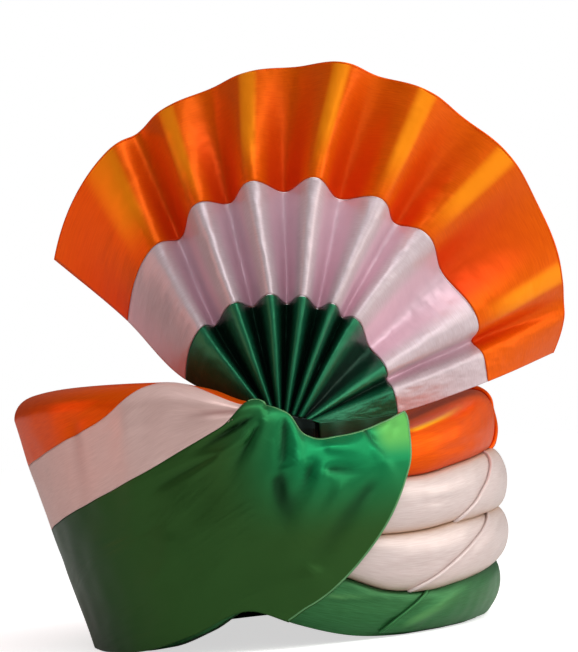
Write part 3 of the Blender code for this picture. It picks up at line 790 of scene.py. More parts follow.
def wrap_stripe(key, lower, upper, low_stops, high_stops, rows, material, lifted=0.0):
    """One stripe of the smooth wrap. lower and upper give its edges along the cloth at a
    bearing; low_stops and high_stops are the bearings of its columns at those edges; lifted
    is how far its upper edge stands proud at the pinch."""
    low, s = np.meshgrid(low_stops, np.linspace(0, 1, rows), indexing="ij")
    high = np.broadcast_to(np.asarray(high_stops)[:, None], low.shape)
    b = low + (high - low) * slant(s, low)
    along = lower(b) + (upper(b) - lower(b)) * s
    raised = lifted * pinch(b) * smoothstep(s * 6 - 5)
    points = wrap_point(b, along, raised)
    piece = sheet_of("wrap_stripe_" + key, points, SHEET_CLOTH * WRAP_DRAWN, material)
    relief = fold_relief(b, along * 1000, WRAP_FOLDS)
    # Painted light, stored for the material: a lighter olive front where the left and back stay dark
    # as painted shade, a painted emerald sheen over the upper front, a painted highlight at the
    # upper right corner, and painted shade in the hollows of folds.
    keep_share(piece, "painted_olive_light", setting_in(b, *PAINTED_OLIVE_LIGHT))
    painted_emerald_sheen = setting_in(b, *PAINTED_SHEEN_BAND[:2]) * setting_in(along, *PAINTED_SHEEN_BAND[2:])
    keep_share(piece, "painted_emerald_sheen", painted_emerald_sheen)
    painted_corner_highlight = setting_in(b, *PAINTED_CORNER_HIGHLIGHT[:2]) * setting_in(along, *PAINTED_CORNER_HIGHLIGHT[2:])
    keep_share(piece, "painted_corner_highlight", PAINTED_CORNER_STRENGTH * painted_corner_highlight)
    keep_share(piece, "painted_fold_shade", PAINTED_HOLLOW_SHADE * smoothstep(-relief / HOLLOW_RELIEF))
    return piece


def make_wrap(green, white, saffron):
    """The three stripes of the smooth wrap round the left side and over the front."""
    rear = {
        edge: np.linspace(bearing, WRAP_TIP_BEARING, WRAP_COLUMNS)
        for edge, bearing in WRAP_REAR.items()
    }
    right_top = np.linspace(WRAP_TIP_BEARING, WRAP_EDGE_TOP, WRAP_RIGHT_COLUMNS)[1:]
    tops = np.concatenate([rear["green_top"], right_top])
    reach = (tops - tops[0]) / (tops[-1] - tops[0])
    feet = WRAP_REAR["foot"] + (WRAP_EDGE_FOOT - WRAP_REAR["foot"]) * reach
    low, high, end = rear["green_top"], rear["white_top"], rear["top"]
    return (
        wrap_stripe("green", wrap_foot, green_top, feet, tops, 90, green, lifted=PINCH_LIFT),
        wrap_stripe("white", green_seam, white_seam, low, high, 36, white),
        wrap_stripe("saffron", white_seam, turned_end, high, end, 48, saffron),
    )


# Pleated fan
def fan_axes():
    """The fan's directions: to its right, backwards and up."""
    a = math.radians(FAN_FACING_DEG)
    right = np.array([math.cos(a), math.sin(a), 0.0])
    back = np.array([-math.sin(a), math.cos(a), 0.0])
    return right, back, np.array([0.0, 0.0, 1.0])


def fan_root():
    """Where the pleats come together, above the rolls' crest."""
    right, back, up = fan_axes()
    height = rolls_crest(FAN_SEAT_BEARING) + FAN_ROOT_RISE
    return right * FAN_ROOT_ACROSS + back * FAN_ROOT_BACK + up * height + HEAD_MIDDLE


def along_folds(column, place):
    """A column of the fan's table at a place between folds, smooth from fold to fold."""
    rows = [(k, fold[column]) for k, fold in enumerate(FAN_FOLDS)]
    return column_curve(rows, 1, period=None)(place)


def fold_depth(place):
    """Depth of the pleats between folds, as a share: rounded ridges and tighter valleys."""
    depths = np.array([fold[1] for fold in FAN_FOLDS])
    k = np.clip(place.astype(int), 0, len(FAN_FOLDS) - 2)
    t = np.clip(place - k, 0.0, 1.0)
    first, second = depths[k], depths[k + 1]
    swing = (1 - np.cos(math.pi * t)) / 2
    return (first + (second - first) * swing) ** RIDGE_ROUNDNESS


def flat_fan(place, along):
    """The fan's cloth with its folds pressed flat, at places between folds and distances along
    the cloth from the gather; also the pleats' swell there."""
    right, back, up = fan_axes()
    gather = along_folds(0, place)[..., None]
    knots = [fan_root() + right * gather * GATHER_WIDTH - up * (gather + 0.5) * GATHER_DROP]
    for stripe in range(3):
        a = np.radians(along_folds(2 + stripe, place))[..., None]
        tilt = np.radians(along_folds(5 + stripe, place))[..., None]
        step = (right * np.cos(a) + up * np.sin(a)) * np.cos(tilt) + back * np.sin(tilt)
        knots.append(knots[-1] + step * FAN_STRIPE)
    rows = [(k * FAN_STRIPE, PLEAT_SWELL[k], VALLEY_DRAWN_IN[k]) for k in range(4)]
    swell = column_curve(rows, 1, period=None)(along)
    drawn = along - fold_depth(place) * column_curve(rows, 2, period=None)(along) * FAN_STRIPE
    knots = np.stack(knots)
    slopes = np.gradient(knots, axis=0)
    k = np.clip((drawn / FAN_STRIPE).astype(int), 0, 2)
    t = (drawn / FAN_STRIPE - k)[..., None]
    i, j = np.meshgrid(*[np.arange(n) for n in place.shape], indexing="ij")
    point = (
        knots[k, i, j] * (1 + 2 * t) * (1 - t) ** 2
        + slopes[k, i, j] * t * (1 - t) ** 2
        + knots[k + 1, i, j] * t * t * (3 - 2 * t)
        + slopes[k + 1, i, j] * t * t * (t - 1)
    )
    return point, swell


def fan_grid(start, end, rows):
    """A grid of places between folds and distances along the cloth."""
    last = len(FAN_FOLDS) - 1
    places = np.linspace(0, last, last * COLUMNS_PER_FOLD + 1)
    return np.meshgrid(places, np.linspace(start, end, rows), indexing="ij")


def fan_surface(place, along):
    """The pleated fan's front face, worked out as the pleating tree does."""
    point, swell = flat_fan(place, along)
    back = fan_axes()[1]
    return point + back * (fold_depth(place) * swell * PLEAT_DEPTH)[..., None]


# Geometry Nodes
def add_node(tree, kind, links=None, **settings):
    """A node with its settings. links maps a socket's name or number to a value, to the output
    that feeds it, or to a node whose first output feeds it."""
    made = tree.nodes.new(kind)
    for key, value in settings.items():
        setattr(made, key, value)
    for socket, value in (links or {}).items():
        if isinstance(value, bpy.types.Node):
            value = value.outputs[0]
        if isinstance(value, bpy.types.NodeSocket):
            tree.links.new(value, made.inputs[socket])
        else:
            made.inputs[socket].default_value = value
    return made


def new_tree(name, sizes, vectors=()):
    """A Geometry Nodes tree with named inputs, the material's among them, and its input
    node's outputs."""
    tree = bpy.data.node_groups.new(name, "GeometryNodeTree")
    kinds = [("Geometry", "Geometry")]
    kinds += [(label, "Vector") for label in vectors] + [(label, "Float") for label in sizes]
    for label, kind in kinds + [("Material", "Material")]:
        tree.interface.new_socket(label, in_out="INPUT", socket_type="NodeSocket" + kind)
    tree.interface.new_socket("Geometry", in_out="OUTPUT", socket_type="NodeSocketGeometry")
    return tree, add_node(tree, "NodeGroupInput").outputs


def finish_tree(tree, geometry, given):
    """The tree's end: instances made real, the material set, and the output."""
    real = add_node(tree, "GeometryNodeRealizeInstances", {"Geometry": geometry})
    finish = {"Geometry": real, "Material": given["Material"]}
    painted = add_node(tree, "GeometryNodeSetMaterial", finish)
    add_node(tree, "NodeGroupOutput", {"Geometry": painted})
    return tree


def pleating_tree():
    """Folds a flat sheet into pleats: each point goes back by its fold's depth and swell, and
    small ripples run along the folds."""
    sizes = ("Pleat Depth", "Ripple Height", "Ripples per Metre", "Seed")
    tree, given = new_tree("pleating", sizes, vectors=("Backwards",))
    stored, maths = "GeometryNodeInputNamedAttribute", "ShaderNodeMath"
    depth = add_node(tree, stored, {"Name": "fold_depth"})
    swell = add_node(tree, stored, {"Name": "pleat_swell"})
    cloth = add_node(tree, stored, {"Name": "on_cloth"}, data_type="FLOAT_VECTOR")
    pattern = {"Vector": cloth, "W": given["Seed"], "Scale": given["Ripples per Metre"]}
    pattern.update({"Detail": 3.0, "Roughness": 0.55})
    ripple = add_node(tree, "ShaderNodeTexNoise", pattern, noise_dimensions="4D")
    share = add_node(tree, maths, {0: depth, 1: swell}, operation="MULTIPLY")
    deep = add_node(tree, maths, {0: share, 1: given["Pleat Depth"]}, operation="MULTIPLY")
    centred = add_node(tree, maths, {0: ripple, 1: 0.5}, operation="SUBTRACT")
    high = add_node(tree, maths, {0: centred, 1: given["Ripple Height"]}, operation="MULTIPLY")
    both = add_node(tree, maths, {0: high, 1: swell, 2: deep}, operation="MULTIPLY_ADD")
    backwards = {0: given["Backwards"], "Scale": both}
    move = add_node(tree, "ShaderNodeVectorMath", backwards, operation="SCALE")
    moved = {"Geometry": given["Geometry"], "Offset": move}
    folded = add_node(tree, "GeometryNodeSetPosition", moved)
    return finish_tree(tree, folded, given)


def hem_tree():
    """A rolled hem: a thin tube of cloth along an edge."""
    tree, given = new_tree("rolled_hem", ("Hem Radius", "Step"))
    edge = add_node(tree, "GeometryNodeMeshToCurve", {"Mesh": given["Geometry"]})
    spacing = {"Curve": edge, "Length": given["Step"]}
    even = add_node(tree, "GeometryNodeResampleCurve", spacing, mode="LENGTH")
    circle = {"Resolution": 8, "Radius": given["Hem Radius"]}
    section = add_node(tree, "GeometryNodeCurvePrimitiveCircle", circle)
    measured = []
    for curve in (even, section):
        kept = add_node(tree, "GeometryNodeCaptureAttribute", {"Geometry": curve})
        kept.capture_items.new("FLOAT", "length")
        run = add_node(tree, "GeometryNodeSplineParameter")
        tree.links.new(run.outputs["Length"], kept.inputs["length"])
        measured.append(kept)
    curves = {"Curve": measured[0], "Profile Curve": measured[1], "Fill Caps": True}
    tube = add_node(tree, "GeometryNodeCurveToMesh", curves)
    lengths = {axis: kept.outputs["length"] for axis, kept in zip("XY", measured)}
    place = add_node(tree, "ShaderNodeCombineXYZ", lengths)
    mapping = {"Geometry": tube, "Name": "cloth", "Value": place}
    field = "GeometryNodeStoreNamedAttribute"
    mapped = add_node(tree, field, mapping, data_type="FLOAT2", domain="CORNER")
    smooth = add_node(tree, "GeometryNodeSetShadeSmooth", {"Geometry": mapped})
    return finish_tree(tree, smooth, given)


def stitch_tree():
    """A row of running stitches along a seam: one short thread at each step of the path."""
    tree, given = new_tree("seam_stitches", ("Stitch Length", "Thread Radius", "Pitch"))
    seam = add_node(tree, "GeometryNodeMeshToCurve", {"Mesh": given["Geometry"]})
    spacing = {"Curve": seam, "Length": given["Pitch"]}
    even = add_node(tree, "GeometryNodeResampleCurve", spacing, mode="LENGTH")
    along = {"Vector": add_node(tree, "GeometryNodeInputTangent")}
    turn = add_node(tree, "FunctionNodeAlignRotationToVector", along, axis="Z")
    size = {"Vertices": 6, "Radius": given["Thread Radius"], "Depth": given["Stitch Length"]}
    stitch = add_node(tree, "GeometryNodeMeshCylinder", size, fill_type="NGON")
    placing = {"Points": even, "Instance": stitch, "Rotation": turn}
    row = add_node(tree, "GeometryNodeInstanceOnPoints", placing)
    return finish_tree(tree, row, given)


def grow(name, carrier, tree, values):
    """The plain mesh that a tree makes from a carrier, which is removed."""
    growth = carrier.modifiers.new("growth", "NODES")
    growth.node_group = tree
    sockets = {s.name: s.identifier for s in tree.interface.items_tree if s.in_out == "INPUT"}
    for label, value in values.items():
        growth[sockets[label]] = value
    graph = bpy.context.evaluated_depsgraph_get()
    mesh = bpy.data.meshes.new_from_object(carrier.evaluated_get(graph))
    mesh.name = name
    bpy.data.objects.remove(carrier)
    return put_in(name, mesh)


def path_of(points):
    """A carrier of edges only, along points."""
    mesh = bpy.data.meshes.new("path")
    links = [(k, k + 1) for k in range(len(points) - 1)]
    mesh.from_pydata([tuple(p) for p in points], links, [])
    return put_in("path", mesh)


def make_hem(name, points, radius, tree, material):
    """A rolled hem along an edge of points."""
    values = {"Hem Radius": radius, "Step": radius * 1.2, "Material": material}
    return grow(name, path_of(points), tree, values)


def wrap_edge_points():
    """The wrap's lip right of the gather, and its free edge down to the floor."""
    lip = np.linspace(PINCH_BEARING - 2.0, WRAP_EDGE_TOP, 130)
    along_lip = wrap_point(lip, green_top(lip) - HEM_INSET, PINCH_LIFT * pinch(lip))
    share = np.linspace(1, 0, 160)[1:]
    low, high = np.full_like(share, WRAP_EDGE_FOOT), np.full_like(share, WRAP_EDGE_TOP)
    b = low + (high - low) * slant(share, low)
    foot = wrap_foot(b) + HEM_RADIUS
    edge = wrap_point(b, foot + (green_top(b) - HEM_INSET - foot) * share)
    return np.concatenate([along_lip, edge])


def make_wrap_stitches(material):
    """Running stitches below the seam of white and saffron, near the pinch."""
    b = np.linspace(STITCHES_FROM, STITCHES_TO, 60)
    seam = wrap_point(b, white_seam(b) - STITCH_INSET)
    away = seam - HEAD_MIDDLE
    away[:, 2] = 0.0
    away /= np.linalg.norm(away, axis=1, keepdims=True)
    values = {
        "Stitch Length": STITCH_LENGTH,
        "Thread Radius": SEWING_THREAD_RADIUS,
        "Pitch": STITCH_PITCH,
        "Material": material,
    }
    carrier = path_of(seam + away * SHEET_CLOTH * 0.35)
    return grow("wrap_stitches", carrier, stitch_tree(), values)


# Pieces of the fan, whose folds come from the pleating tree
def make_fan_stripe(key, start, end, fading, tree, material):
    """One stripe of the fan's cloth. fading is how far the painted shade of its valleys has faded
    out at its outer edge."""
    place, along = fan_grid(start, end, FAN_ROWS)
    points, swell = flat_fan(place, along)
    cloth_width = np.linspace(0, FAN_CLOTH_WIDTH, place.shape[0])
    flat = skin("fan_stripe_" + key + "_flat", points, cloth_width, along[0])
    on_cloth = np.stack([place * ACROSS_PER_FOLD, along, np.zeros_like(along)], -1)
    depth = fold_depth(place)
    outwards = (along - start) / (end - start)
    keep_share(flat, "fold_depth", depth)
    keep_share(flat, "pleat_swell", swell)
    # Painted shade deep in the valleys, fading outwards, and painted highlight streaks along the
    # ridges left of the right-hand flap.
    keep_share(flat, "painted_fold_shade", smoothstep(depth * 2.0 - 0.25) * (1 - fading * outwards))
    streaks = smoothstep(1 - depth * 9) * smoothstep(RIGHT_FLAP_FROM - place)
    keep_share(flat, "painted_ridge_highlight", streaks * smoothstep(outwards * 2))
    field = flat.data.attributes.new("on_cloth", "FLOAT_VECTOR", "POINT")
    field.data.foreach_set("vector", on_cloth.ravel())
    values = {
        "Backwards": list(fan_axes()[1]),
        "Pleat Depth": PLEAT_DEPTH,
        "Ripple Height": FAN_RIPPLE_HEIGHT,
        "Ripples per Metre": FAN_RIPPLES,
        "Seed": SEED + start,
        "Material": material,
    }
    piece = grow("fan_stripe_" + key, flat, tree, values)
    piece.data.shade_smooth()
    return thicken(piece, FAN_CLOTH)


def make_turned_edge(material):
    """The green stripe's right edge, turned under and hanging down inside the wrap's lip."""
    rows, columns = 60, 14
    last = float(len(FAN_FOLDS) - 1)
    along = np.linspace(GATHER_START, FAN_STRIPE - SEAM, rows)
    edge = fan_surface(np.full((1, rows), last), along[None, :])[0]
    drop = np.linspace(0, 1, columns)[:, None]
    sway = TURNED_EDGE_SWAY * np.sin(along * TURNED_EDGE_WAVES + 0.6)
    depth = TURNED_EDGE_DROP * smoothstep(along / 0.012 + 0.7)
    behind = 0.0003 + (0.002 + sway[:, None, None]) * drop[None]
    points = edge[:, None, :] + fan_axes()[1] * behind
    points[..., 2] += FAN_CLOTH / 2 - depth[:, None] * drop[None, :, 0]
    piece = sheet_of("fan_turned_edge", points, FAN_CLOTH, material)
    # Painted shade on the turned edge, deepening as it hangs down.
    keep_share(piece, "painted_fold_shade", np.broadcast_to(0.35 + 0.65 * drop[:, 0], points.shape[:2]))
    return piece


def make_fan_gather(material):
    """The tied foot of the pleats, behind the wrap's lip: a short bundle of soft folds."""
    right, back = fan_axes()[:2]
    centre = fan_root()
    foot = rolls_crest(FAN_SEAT_BEARING) + HEM_LIFT
    sections = []
    for k in range(GATHER_COLUMNS):
        a = 2 * math.pi * k / GATHER_COLUMNS
        column = []
        for level in range(GATHER_ROWS):
            t = level / (GATHER_ROWS - 1)
            fold = 1 + GATHER_FOLD_DEPTH * math.cos(GATHER_FOLDS * a + GATHER_TWIST * t)
            across = math.cos(a) * (GATHER_FOOT + GATHER_FLARE * t) * GATHER_WIDTH * fold
            deep = (math.sin(a) * 0.5 * fold + 0.5) * GATHER_BUNDLE_DEPTH
            place = centre + right * across + back * deep
            lift = GATHER_START - (across / GATHER_WIDTH + 0.5) * GATHER_DROP
            place[2] = foot + (centre[2] + lift - foot) * t
            column.append(place)
        sections.append(column)
    sections = np.array(sections)
    round_it = np.append(arc_lengths(sections, 0), GATHER_GIRTH)
    along = arc_lengths(sections, 1)
    piece = skin("fan_gather", sections, round_it, along, closed_columns=True)
    close_ends(piece, GATHER_COLUMNS, GATHER_ROWS)
    piece.data.materials.append(material)
    # Painted shade over the whole gather.
    keep_share(piece, "painted_fold_shade", np.ones((GATHER_COLUMNS, GATHER_ROWS)))
    return piece


def close_ends(piece, columns, rows, foot=True):
    """Closes the upper end of a tube of columns x rows, and its foot too if asked."""
    shell = bmesh.new()
    shell.from_mesh(piece.data)
    shell.verts.ensure_lookup_table()
    if foot:
        shell.faces.new([shell.verts[k * rows] for k in reversed(range(columns))])
    shell.faces.new([shell.verts[k * rows + rows - 1] for k in range(columns)])
    bmesh.ops.recalc_face_normals(shell, faces=shell.faces)
    shell.to_mesh(piece.data)
    shell.free()
    piece.data.shade_smooth()


def make_crown(material):
    """The cloth over the head: a wall and a dome, drawn into soft gathers at the top."""
    bearings = np.arange(CROWN_COLUMNS) * 360.0 / CROWN_COLUMNS
    rises = np.sin(np.linspace(0, math.radians(DOME_END_DEG), DOME_ROWS))
    wall = np.linspace(CROWN_RIM_HEIGHT, CROWN_WALL_HEIGHT, CROWN_WALL_ROWS)[:-1]
    dome = CROWN_WALL_HEIGHT + rises * (CROWN_TOP - CROWN_CLOTH - CROWN_WALL_HEIGHT)
    heights = np.concatenate([wall, dome])
    b, z = np.meshgrid(bearings, heights, indexing="ij")
    half_width, half_length = crown_axes(z, -CROWN_CLOTH / 2)
    drawn = smoothstep((z - BOWL_END_HEIGHT + 0.004) / 0.008)
    folds = np.cos(np.radians(b) * CROWN_GATHERS) * CROWN_GATHER_HEIGHT
    gathers = folds * drawn * (half_width / HEAD_HALF_WIDTH)
    points = on_ring(b, half_width, half_length, z + gathers)
    round_it = np.append(arc_lengths(points, 0), HEAD_GIRTH)
    along = arc_lengths(points, 1)
    piece = skin("gathered_crown", points, round_it, along, closed_columns=True)
    close_ends(piece, CROWN_COLUMNS, len(heights), foot=False)
    piece.data.materials.append(material)
    return thicken(piece, CROWN_CLOTH * CROWN_DRAWN)


# Materials
def linear(hex_colour):
    """An sRGB hex colour as linear RGBA."""
    channels = [int(hex_colour[k : k + 2], 16) / 255 for k in (1, 3, 5)]
    return tuple(
        c / 12.92 if c <= 0.04045 else ((c + 0.055) / 1.055) ** 2.4 for c in channels
    ) + (1.0,)


def new_material(name):
    """A material and its tree, which is still empty."""
    material = bpy.data.materials.new(name)
    material.use_nodes = True
    material.node_tree.nodes.clear()
    return material, material.node_tree


# Satins. Columns: name, the colours in and on the threads, metallic, gloss, the wrinkles' width and
# height in millimetres,
# # and the colours that the cloth turns to where one of its piece's stored shares is 1. These tints
# are painted light:
# # painted shade in creases, valleys and hollows, painted highlights on ridges, and on the wrap a
# painted emerald sheen, a
# # painted highlight at its corner and a lighter olive front.
SATINS = {
    "green": (
        "green_polyester_satin", "#306838", "#3C7A48", 0.55, 0.18, 22.0, 0.9,
        [("painted_fold_shade", "#123018"), ("painted_ridge_highlight", "#5C9A5C")],
    ),
    # A lighter copy of the green satin for the hem of the wrap's lip: its lightness is a painted
    # highlight.
    "rim_green": (
        "green_polyester_satin_rolled_hem_painted_highlight", "#4C8250", "#689C68", 0.45, 0.30, 14.0, 0.4, [],
    ),
    "white": (
        "white_polyester_satin", "#CFBCB8", "#DBCCC8", 0.25, 0.35, 20.0, 0.7,
        [("painted_fold_shade", "#C8A27C")],
    ),
    # A pinker copy of the white satin for the wrap's stripe: its pink is a painted reflection of the
    # saffron and the warm light.
    "wrap_white": (
        "white_polyester_satin_of_the_wrap_painted_pink_reflection", "#D2B0A9", "#DCBCB5", 0.25, 0.30, 20.0, 0.7,
        [("painted_fold_shade", "#A27670")],
    ),
    "saffron": (
        "saffron_polyester_satin", "#DE4C00", "#EA5A00", 0.50, 0.05, 24.0, 0.8,
        [("painted_fold_shade", "#B03204"), ("painted_ridge_highlight", "#FFB41E")],
    ),
    # A darker copy of the green satin for the wrap: its darkness is painted shade, lifted to olive
    # towards the front, with painted sheen and highlight tints.
    "wrap_green": (
        "green_polyester_satin_of_the_wrap_painted_shade_and_sheen", "#183A1E", "#1C4422", 0.60, 0.12, 26.0, 1.1,
        [
            ("painted_olive_light", "#2E5424"),
            ("painted_emerald_sheen", "#0C7E4A"),
            ("painted_corner_highlight", "#7CC050"),
            ("painted_fold_shade", "#0C1C10"),
        ],
    ),
    "pleated_green": (
        "pleated_green_polyester_satin", "#14583C", "#1A6646", 0.55, 0.15, 22.0, 0.9,
        [("painted_fold_shade", "#0E1A17"), ("painted_ridge_highlight", "#267450")],
    ),
    "pleated_white": (
        "pleated_white_polyester_satin", "#C3B0B4", "#CEBFC4", 0.25, 0.25, 20.0, 0.7,
        [("painted_fold_shade", "#E0BDCA")],
    ),
    "pleated_saffron": (
        "pleated_saffron_polyester_satin", "#DA5402", "#E66002", 0.35, 0.06, 24.0, 0.8,
        [("painted_fold_shade", "#DE400A"), ("painted_ridge_highlight", "#FC8E10")],
    ),
}


def satin(name, dark, lit, metallic, gloss, wrinkle_mm, wrinkle_height_mm, tints):
    """Polyester satin, woven with long floats along the cloth: a directional gloss, fine
    streaks along the threads and soft wrinkles."""
    material, tree = new_material(name)
    noise, bump = "ShaderNodeTexNoise", "ShaderNodeBump"
    cloth = add_node(tree, "ShaderNodeUVMap", uv_map="cloth")
    pitch = {"Vector": cloth, "Scale": (60 / THREAD_MM, 1000 / THREAD_MM, 1.0)}
    threads_at = add_node(tree, "ShaderNodeMapping", pitch)
    threads = add_node(tree, noise, {"Vector": threads_at, "Scale": 1.0, "Detail": 2.0})
    askew = {"Vector": cloth, "Rotation": (0.0, 0.0, 0.25)}
    askew["Scale"] = (400 / wrinkle_mm, 1000 / wrinkle_mm, 1.0)
    wrinkles_at = add_node(tree, "ShaderNodeMapping", askew)
    waves = {"Vector": wrinkles_at, "Scale": 1.0, "Detail": 3.0, "Roughness": 0.5}
    wrinkles = add_node(tree, noise, {**waves, "Distortion": 0.6})
    tone = add_node(tree, "ShaderNodeValToRGB", {"Fac": threads})
    for stop, position, colour in zip(tone.color_ramp.elements, (0.3, 0.7), (dark, lit)):
        stop.position = position
        stop.color = linear(colour)
    colour = tone.outputs["Color"]
    # Each stored share blends the colour towards a tint of painted shade, painted highlight or
    # painted sheen.
    for label, towards in tints:
        share = add_node(tree, "ShaderNodeAttribute", attribute_name=label).outputs["Fac"]
        blend = {0: share, 6: colour, 7: linear(towards)}
        colour = add_node(tree, "ShaderNodeMix", blend, data_type="RGBA").outputs[2]
    depth = wrinkle_height_mm / 1000
    soft = add_node(tree, bump, {"Height": wrinkles, "Strength": 1.0, "Distance": depth})
    weave = {"Height": threads, "Normal": soft, "Strength": 0.4, "Distance": THREAD_MM / 10000}
    shader = {
        "Base Color": colour,
        "Metallic": metallic,
        "Roughness": 0.36,
        "IOR": 1.6,
        "Specular IOR Level": gloss,
        "Anisotropic": 0.45,
        "Normal": add_node(tree, bump, weave),
        "Tangent": add_node(tree, "ShaderNodeTangent", direction_type="UV_MAP", uv_map="cloth"),
    }
    face = add_node(tree, "ShaderNodeBsdfPrincipled", shader)
    add_node(tree, "ShaderNodeOutputMaterial", {"Surface": face})
    return material


def sewing_thread(name, colour):
    """Polyester sewing thread: a soft gloss on small round strands."""
    material, tree = new_material(name)
    place = add_node(tree, "ShaderNodeTexCoord").outputs["Object"]
    twist = {"Vector": place, "Scale": 900.0, "Detail": 2.0}
    strands = add_node(tree, "ShaderNodeTexNoise", twist)
    tone = add_node(tree, "ShaderNodeValToRGB", {"Fac": strands})
    tone.color_ramp.elements[0].color = tuple(0.6 * c for c in linear(colour)[:3]) + (1.0,)
    tone.color_ramp.elements[1].color = linear(colour)
    shader = {"Base Color": tone, "Roughness": 0.5, "Sheen Weight": 0.2}
    face = add_node(tree, "ShaderNodeBsdfPrincipled", shader)
    add_node(tree, "ShaderNodeOutputMaterial", {"Surface": face})
    return material


# Light
def towards(bearing, elevation):
    """The direction of a bearing and an elevation in degrees."""
    b, e = math.radians(bearing), math.radians(elevation)
    return Vector((math.sin(b) * math.cos(e), -math.cos(b) * math.cos(e), math.sin(e)))


def softbox(name, bearing, elevation, distance, width, height, watts, colour):
    """A rectangular area light aimed at the middle of the turban."""
    lamp = bpy.data.lights.new(name, "AREA")
    lamp.shape = "RECTANGLE"
    lamp.size = width
    lamp.size_y = height
    lamp.energy = watts
    lamp.color = colour
    box = put_in(name, lamp)
    way = towards(bearing, elevation)
    box.location = Vector(HEAD_MIDDLE) + Vector((0.0, 0.0, AIM_HEIGHT)) + way * distance
    box.rotation_euler = way.to_track_quat("Z", "Y").to_euler()


def studio():
    """A pale floor under soft lights, with a white surround that the camera sees and a dimmer
    one that lights the cloth."""
    white = (1.0, 1.0, 1.0, 1.0)
    floor_mesh = bpy.data.meshes.new("pale_floor")
    corners = [(-FLOOR_REACH, -FLOOR_REACH), (FLOOR_REACH, -FLOOR_REACH)]
    corners += [(FLOOR_REACH, FLOOR_REACH), (-FLOOR_REACH, FLOOR_REACH)]
    floor_mesh.from_pydata([(x, y, -FLOOR_GAP) for x, y in corners], [], [(0, 1, 2, 3)])
    paper, tree = new_material("white_seamless_paper")
    seen = add_node(tree, "ShaderNodeLightPath").outputs["Is Camera Ray"]
    glow = add_node(tree, "ShaderNodeMath", {0: seen, 1: FLOOR_GLOW}, operation="MULTIPLY")
    shader = {"Base Color": linear("#F4F4F4"), "Roughness": 0.9}
    shader.update({"Emission Color": white, "Emission Strength": glow})
    face = add_node(tree, "ShaderNodeBsdfPrincipled", shader)
    add_node(tree, "ShaderNodeOutputMaterial", {"Surface": face})
    floor_mesh.materials.append(paper)
    put_in("pale_floor", floor_mesh)

    world = bpy.data.worlds.new("studio_surround")
    bpy.context.scene.world = world
    world.use_nodes = True
    tree = world.node_tree
    tree.nodes.clear()
    seen = add_node(tree, "ShaderNodeLightPath").outputs["Is Camera Ray"]
    place = add_node(tree, "ShaderNodeTexCoord").outputs["Generated"]
    parts = add_node(tree, "ShaderNodeSeparateXYZ", {"Vector": place}).outputs
    right = {"Value": parts["X"], "From Min": 0.0, "From Max": 0.9, "To Max": SURROUND_RIGHT}
    above = {"Value": parts["Z"], "From Min": 0.1, "From Max": 1.0}
    above.update({"To Min": SURROUND_DIM, "To Max": SURROUND_DIM + SURROUND_ABOVE})
    ramp = "ShaderNodeMapRange"
    glows = [add_node(tree, ramp, ends, interpolation_type="SMOOTHSTEP") for ends in (right, above)]
    both = add_node(tree, "ShaderNodeMath", {0: glows[0], 1: glows[1]}, operation="ADD")
    dim = add_node(tree, "ShaderNodeBackground", {"Color": white, "Strength": both})
    bright = add_node(tree, "ShaderNodeBackground", {"Color": white, "Strength": 1.0})
    choice = add_node(tree, "ShaderNodeMixShader", {0: seen, 1: dim, 2: bright})
    add_node(tree, "ShaderNodeOutputWorld", {"Surface": choice})

    for lamp in SOFTBOXES:
        softbox(*lamp)


def place_camera():
    """A long lens a little right of the front and just below level, turned as the picture is."""
    lens = bpy.data.cameras.new("camera")
    lens.lens = CAMERA_LENS_MM
    lens.sensor_width = CAMERA_SENSOR_MM
    lens.sensor_fit = "AUTO"
    lens.clip_start = 0.05
    camera = put_in("camera", lens)
    azimuth, roll = math.radians(CAMERA_AZIMUTH), math.radians(CAMERA_ROLL)
    right = Vector((math.cos(azimuth), math.sin(azimuth), 0.0))
    target = Vector(HEAD_MIDDLE) + right * TARGET_RIGHT + Vector((0.0, 0.0, TARGET_HEIGHT))
    away = towards(CAMERA_AZIMUTH, CAMERA_ELEVATION)
    up = away.cross(right)
    turned_right = right * math.cos(roll) + up * math.sin(roll)
    turned_up = up * math.cos(roll) - right * math.sin(roll)
    axes = Matrix((turned_right, turned_up, away)).transposed()
    camera.matrix_world = Matrix.Translation(target + away * CAMERA_DISTANCE) @ axes.to_4x4()
    bpy.context.scene.camera = camera


# The turban put together
def wear(piece, cloth, *nodes):
    """The piece rides on the part's one body and stands for these nodes; cloth is not used."""
    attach(piece, "root")
    if nodes:
        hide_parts(*nodes)
    return piece


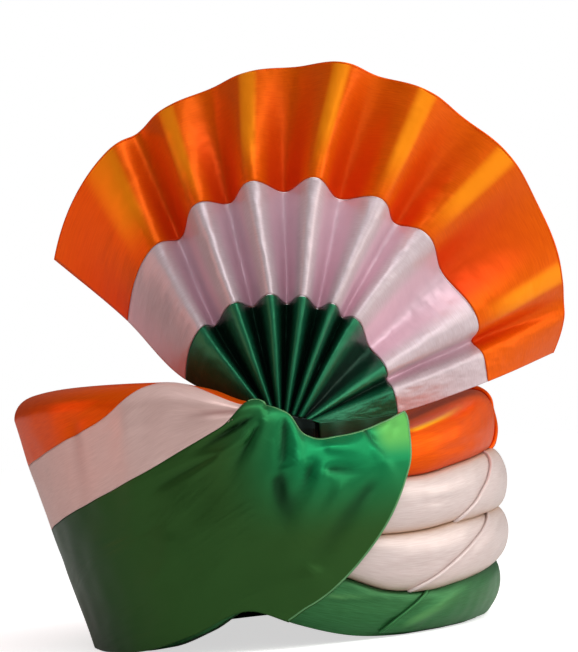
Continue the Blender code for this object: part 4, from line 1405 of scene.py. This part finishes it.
def dress_body(satins, hems):
    """The crown, the four rolls of the first turn and the second turn's cloth over them."""
    crown = wear(make_crown(satins["saffron"]), "crown", "crown_cloth")
    for k, key in enumerate(ROLLS):
        cloth = key.split("_")[0]
        wear(make_roll(k, satins[cloth]), cloth, "roll_" + key)
    for k, (key, foot, top, width) in enumerate(BACK_TURNS):
        cloth = key.split("_")[0]
        turn, edge = make_back_turn(k, foot, top, satins[cloth])
        wear(turn, cloth, "back_roll_" + key)
        hem = make_hem("second_turn_hem_" + key, edge, HEM_RADIUS, hems, satins[cloth])
        wear(hem, cloth)


def dress_wrap(satins, hems):
    """The wrap's three stripes with the green one's hem and the white one's stitches."""
    stripes = make_wrap(satins["wrap_green"], satins["wrap_white"], satins["saffron"])
    for piece, (cloth, under, flat, area) in zip(stripes, WRAP_CUTS):
        wear(piece, cloth, "wrap_" + cloth)
        trim = []
        if cloth == "green":
            edge, radius = wrap_edge_points(), HEM_RADIUS * 0.8
            trim = [wear(make_hem("wrap_hem", edge, radius, hems, satins["rim_green"]), cloth)]
        if cloth == "white":
            trim = [wear(make_wrap_stitches(sewing_thread("sewing_thread", "#C9B8B0")), cloth)]
        under = "wound_roll_" + under


def dress_fan(satins, hems):
    """The fan's three stripes, the saffron one's hem, the turned edge and the gather."""
    pleats = pleating_tree()
    for cloth, start, end, fading, width, area in FAN_STRIPES:
        band = make_fan_stripe(cloth, start, end, fading, pleats, satins["pleated_" + cloth])
        wear(band, cloth, "fan_" + cloth)
        trim = []
        if cloth == "saffron":
            edge = fan_surface(*fan_grid(end - FAN_HEM_RADIUS, end, 2))[:, 0]
            trim = [wear(make_hem("fan_hem", edge, FAN_HEM_RADIUS, hems, satins[cloth]), cloth)]
    turned = wear(make_turned_edge(satins["pleated_green"]), "green")
    gather = wear(make_fan_gather(satins["pleated_green"]), "green", "fan_root")


def main():
    satins = {key: satin(*row) for key, row in SATINS.items()}
    hems = hem_tree()
    dress_body(satins, hems)
    dress_wrap(satins, hems)
    dress_fan(satins, hems)
    studio()
    place_camera()
    bpy.context.scene.view_settings.view_transform = "Standard"


main()
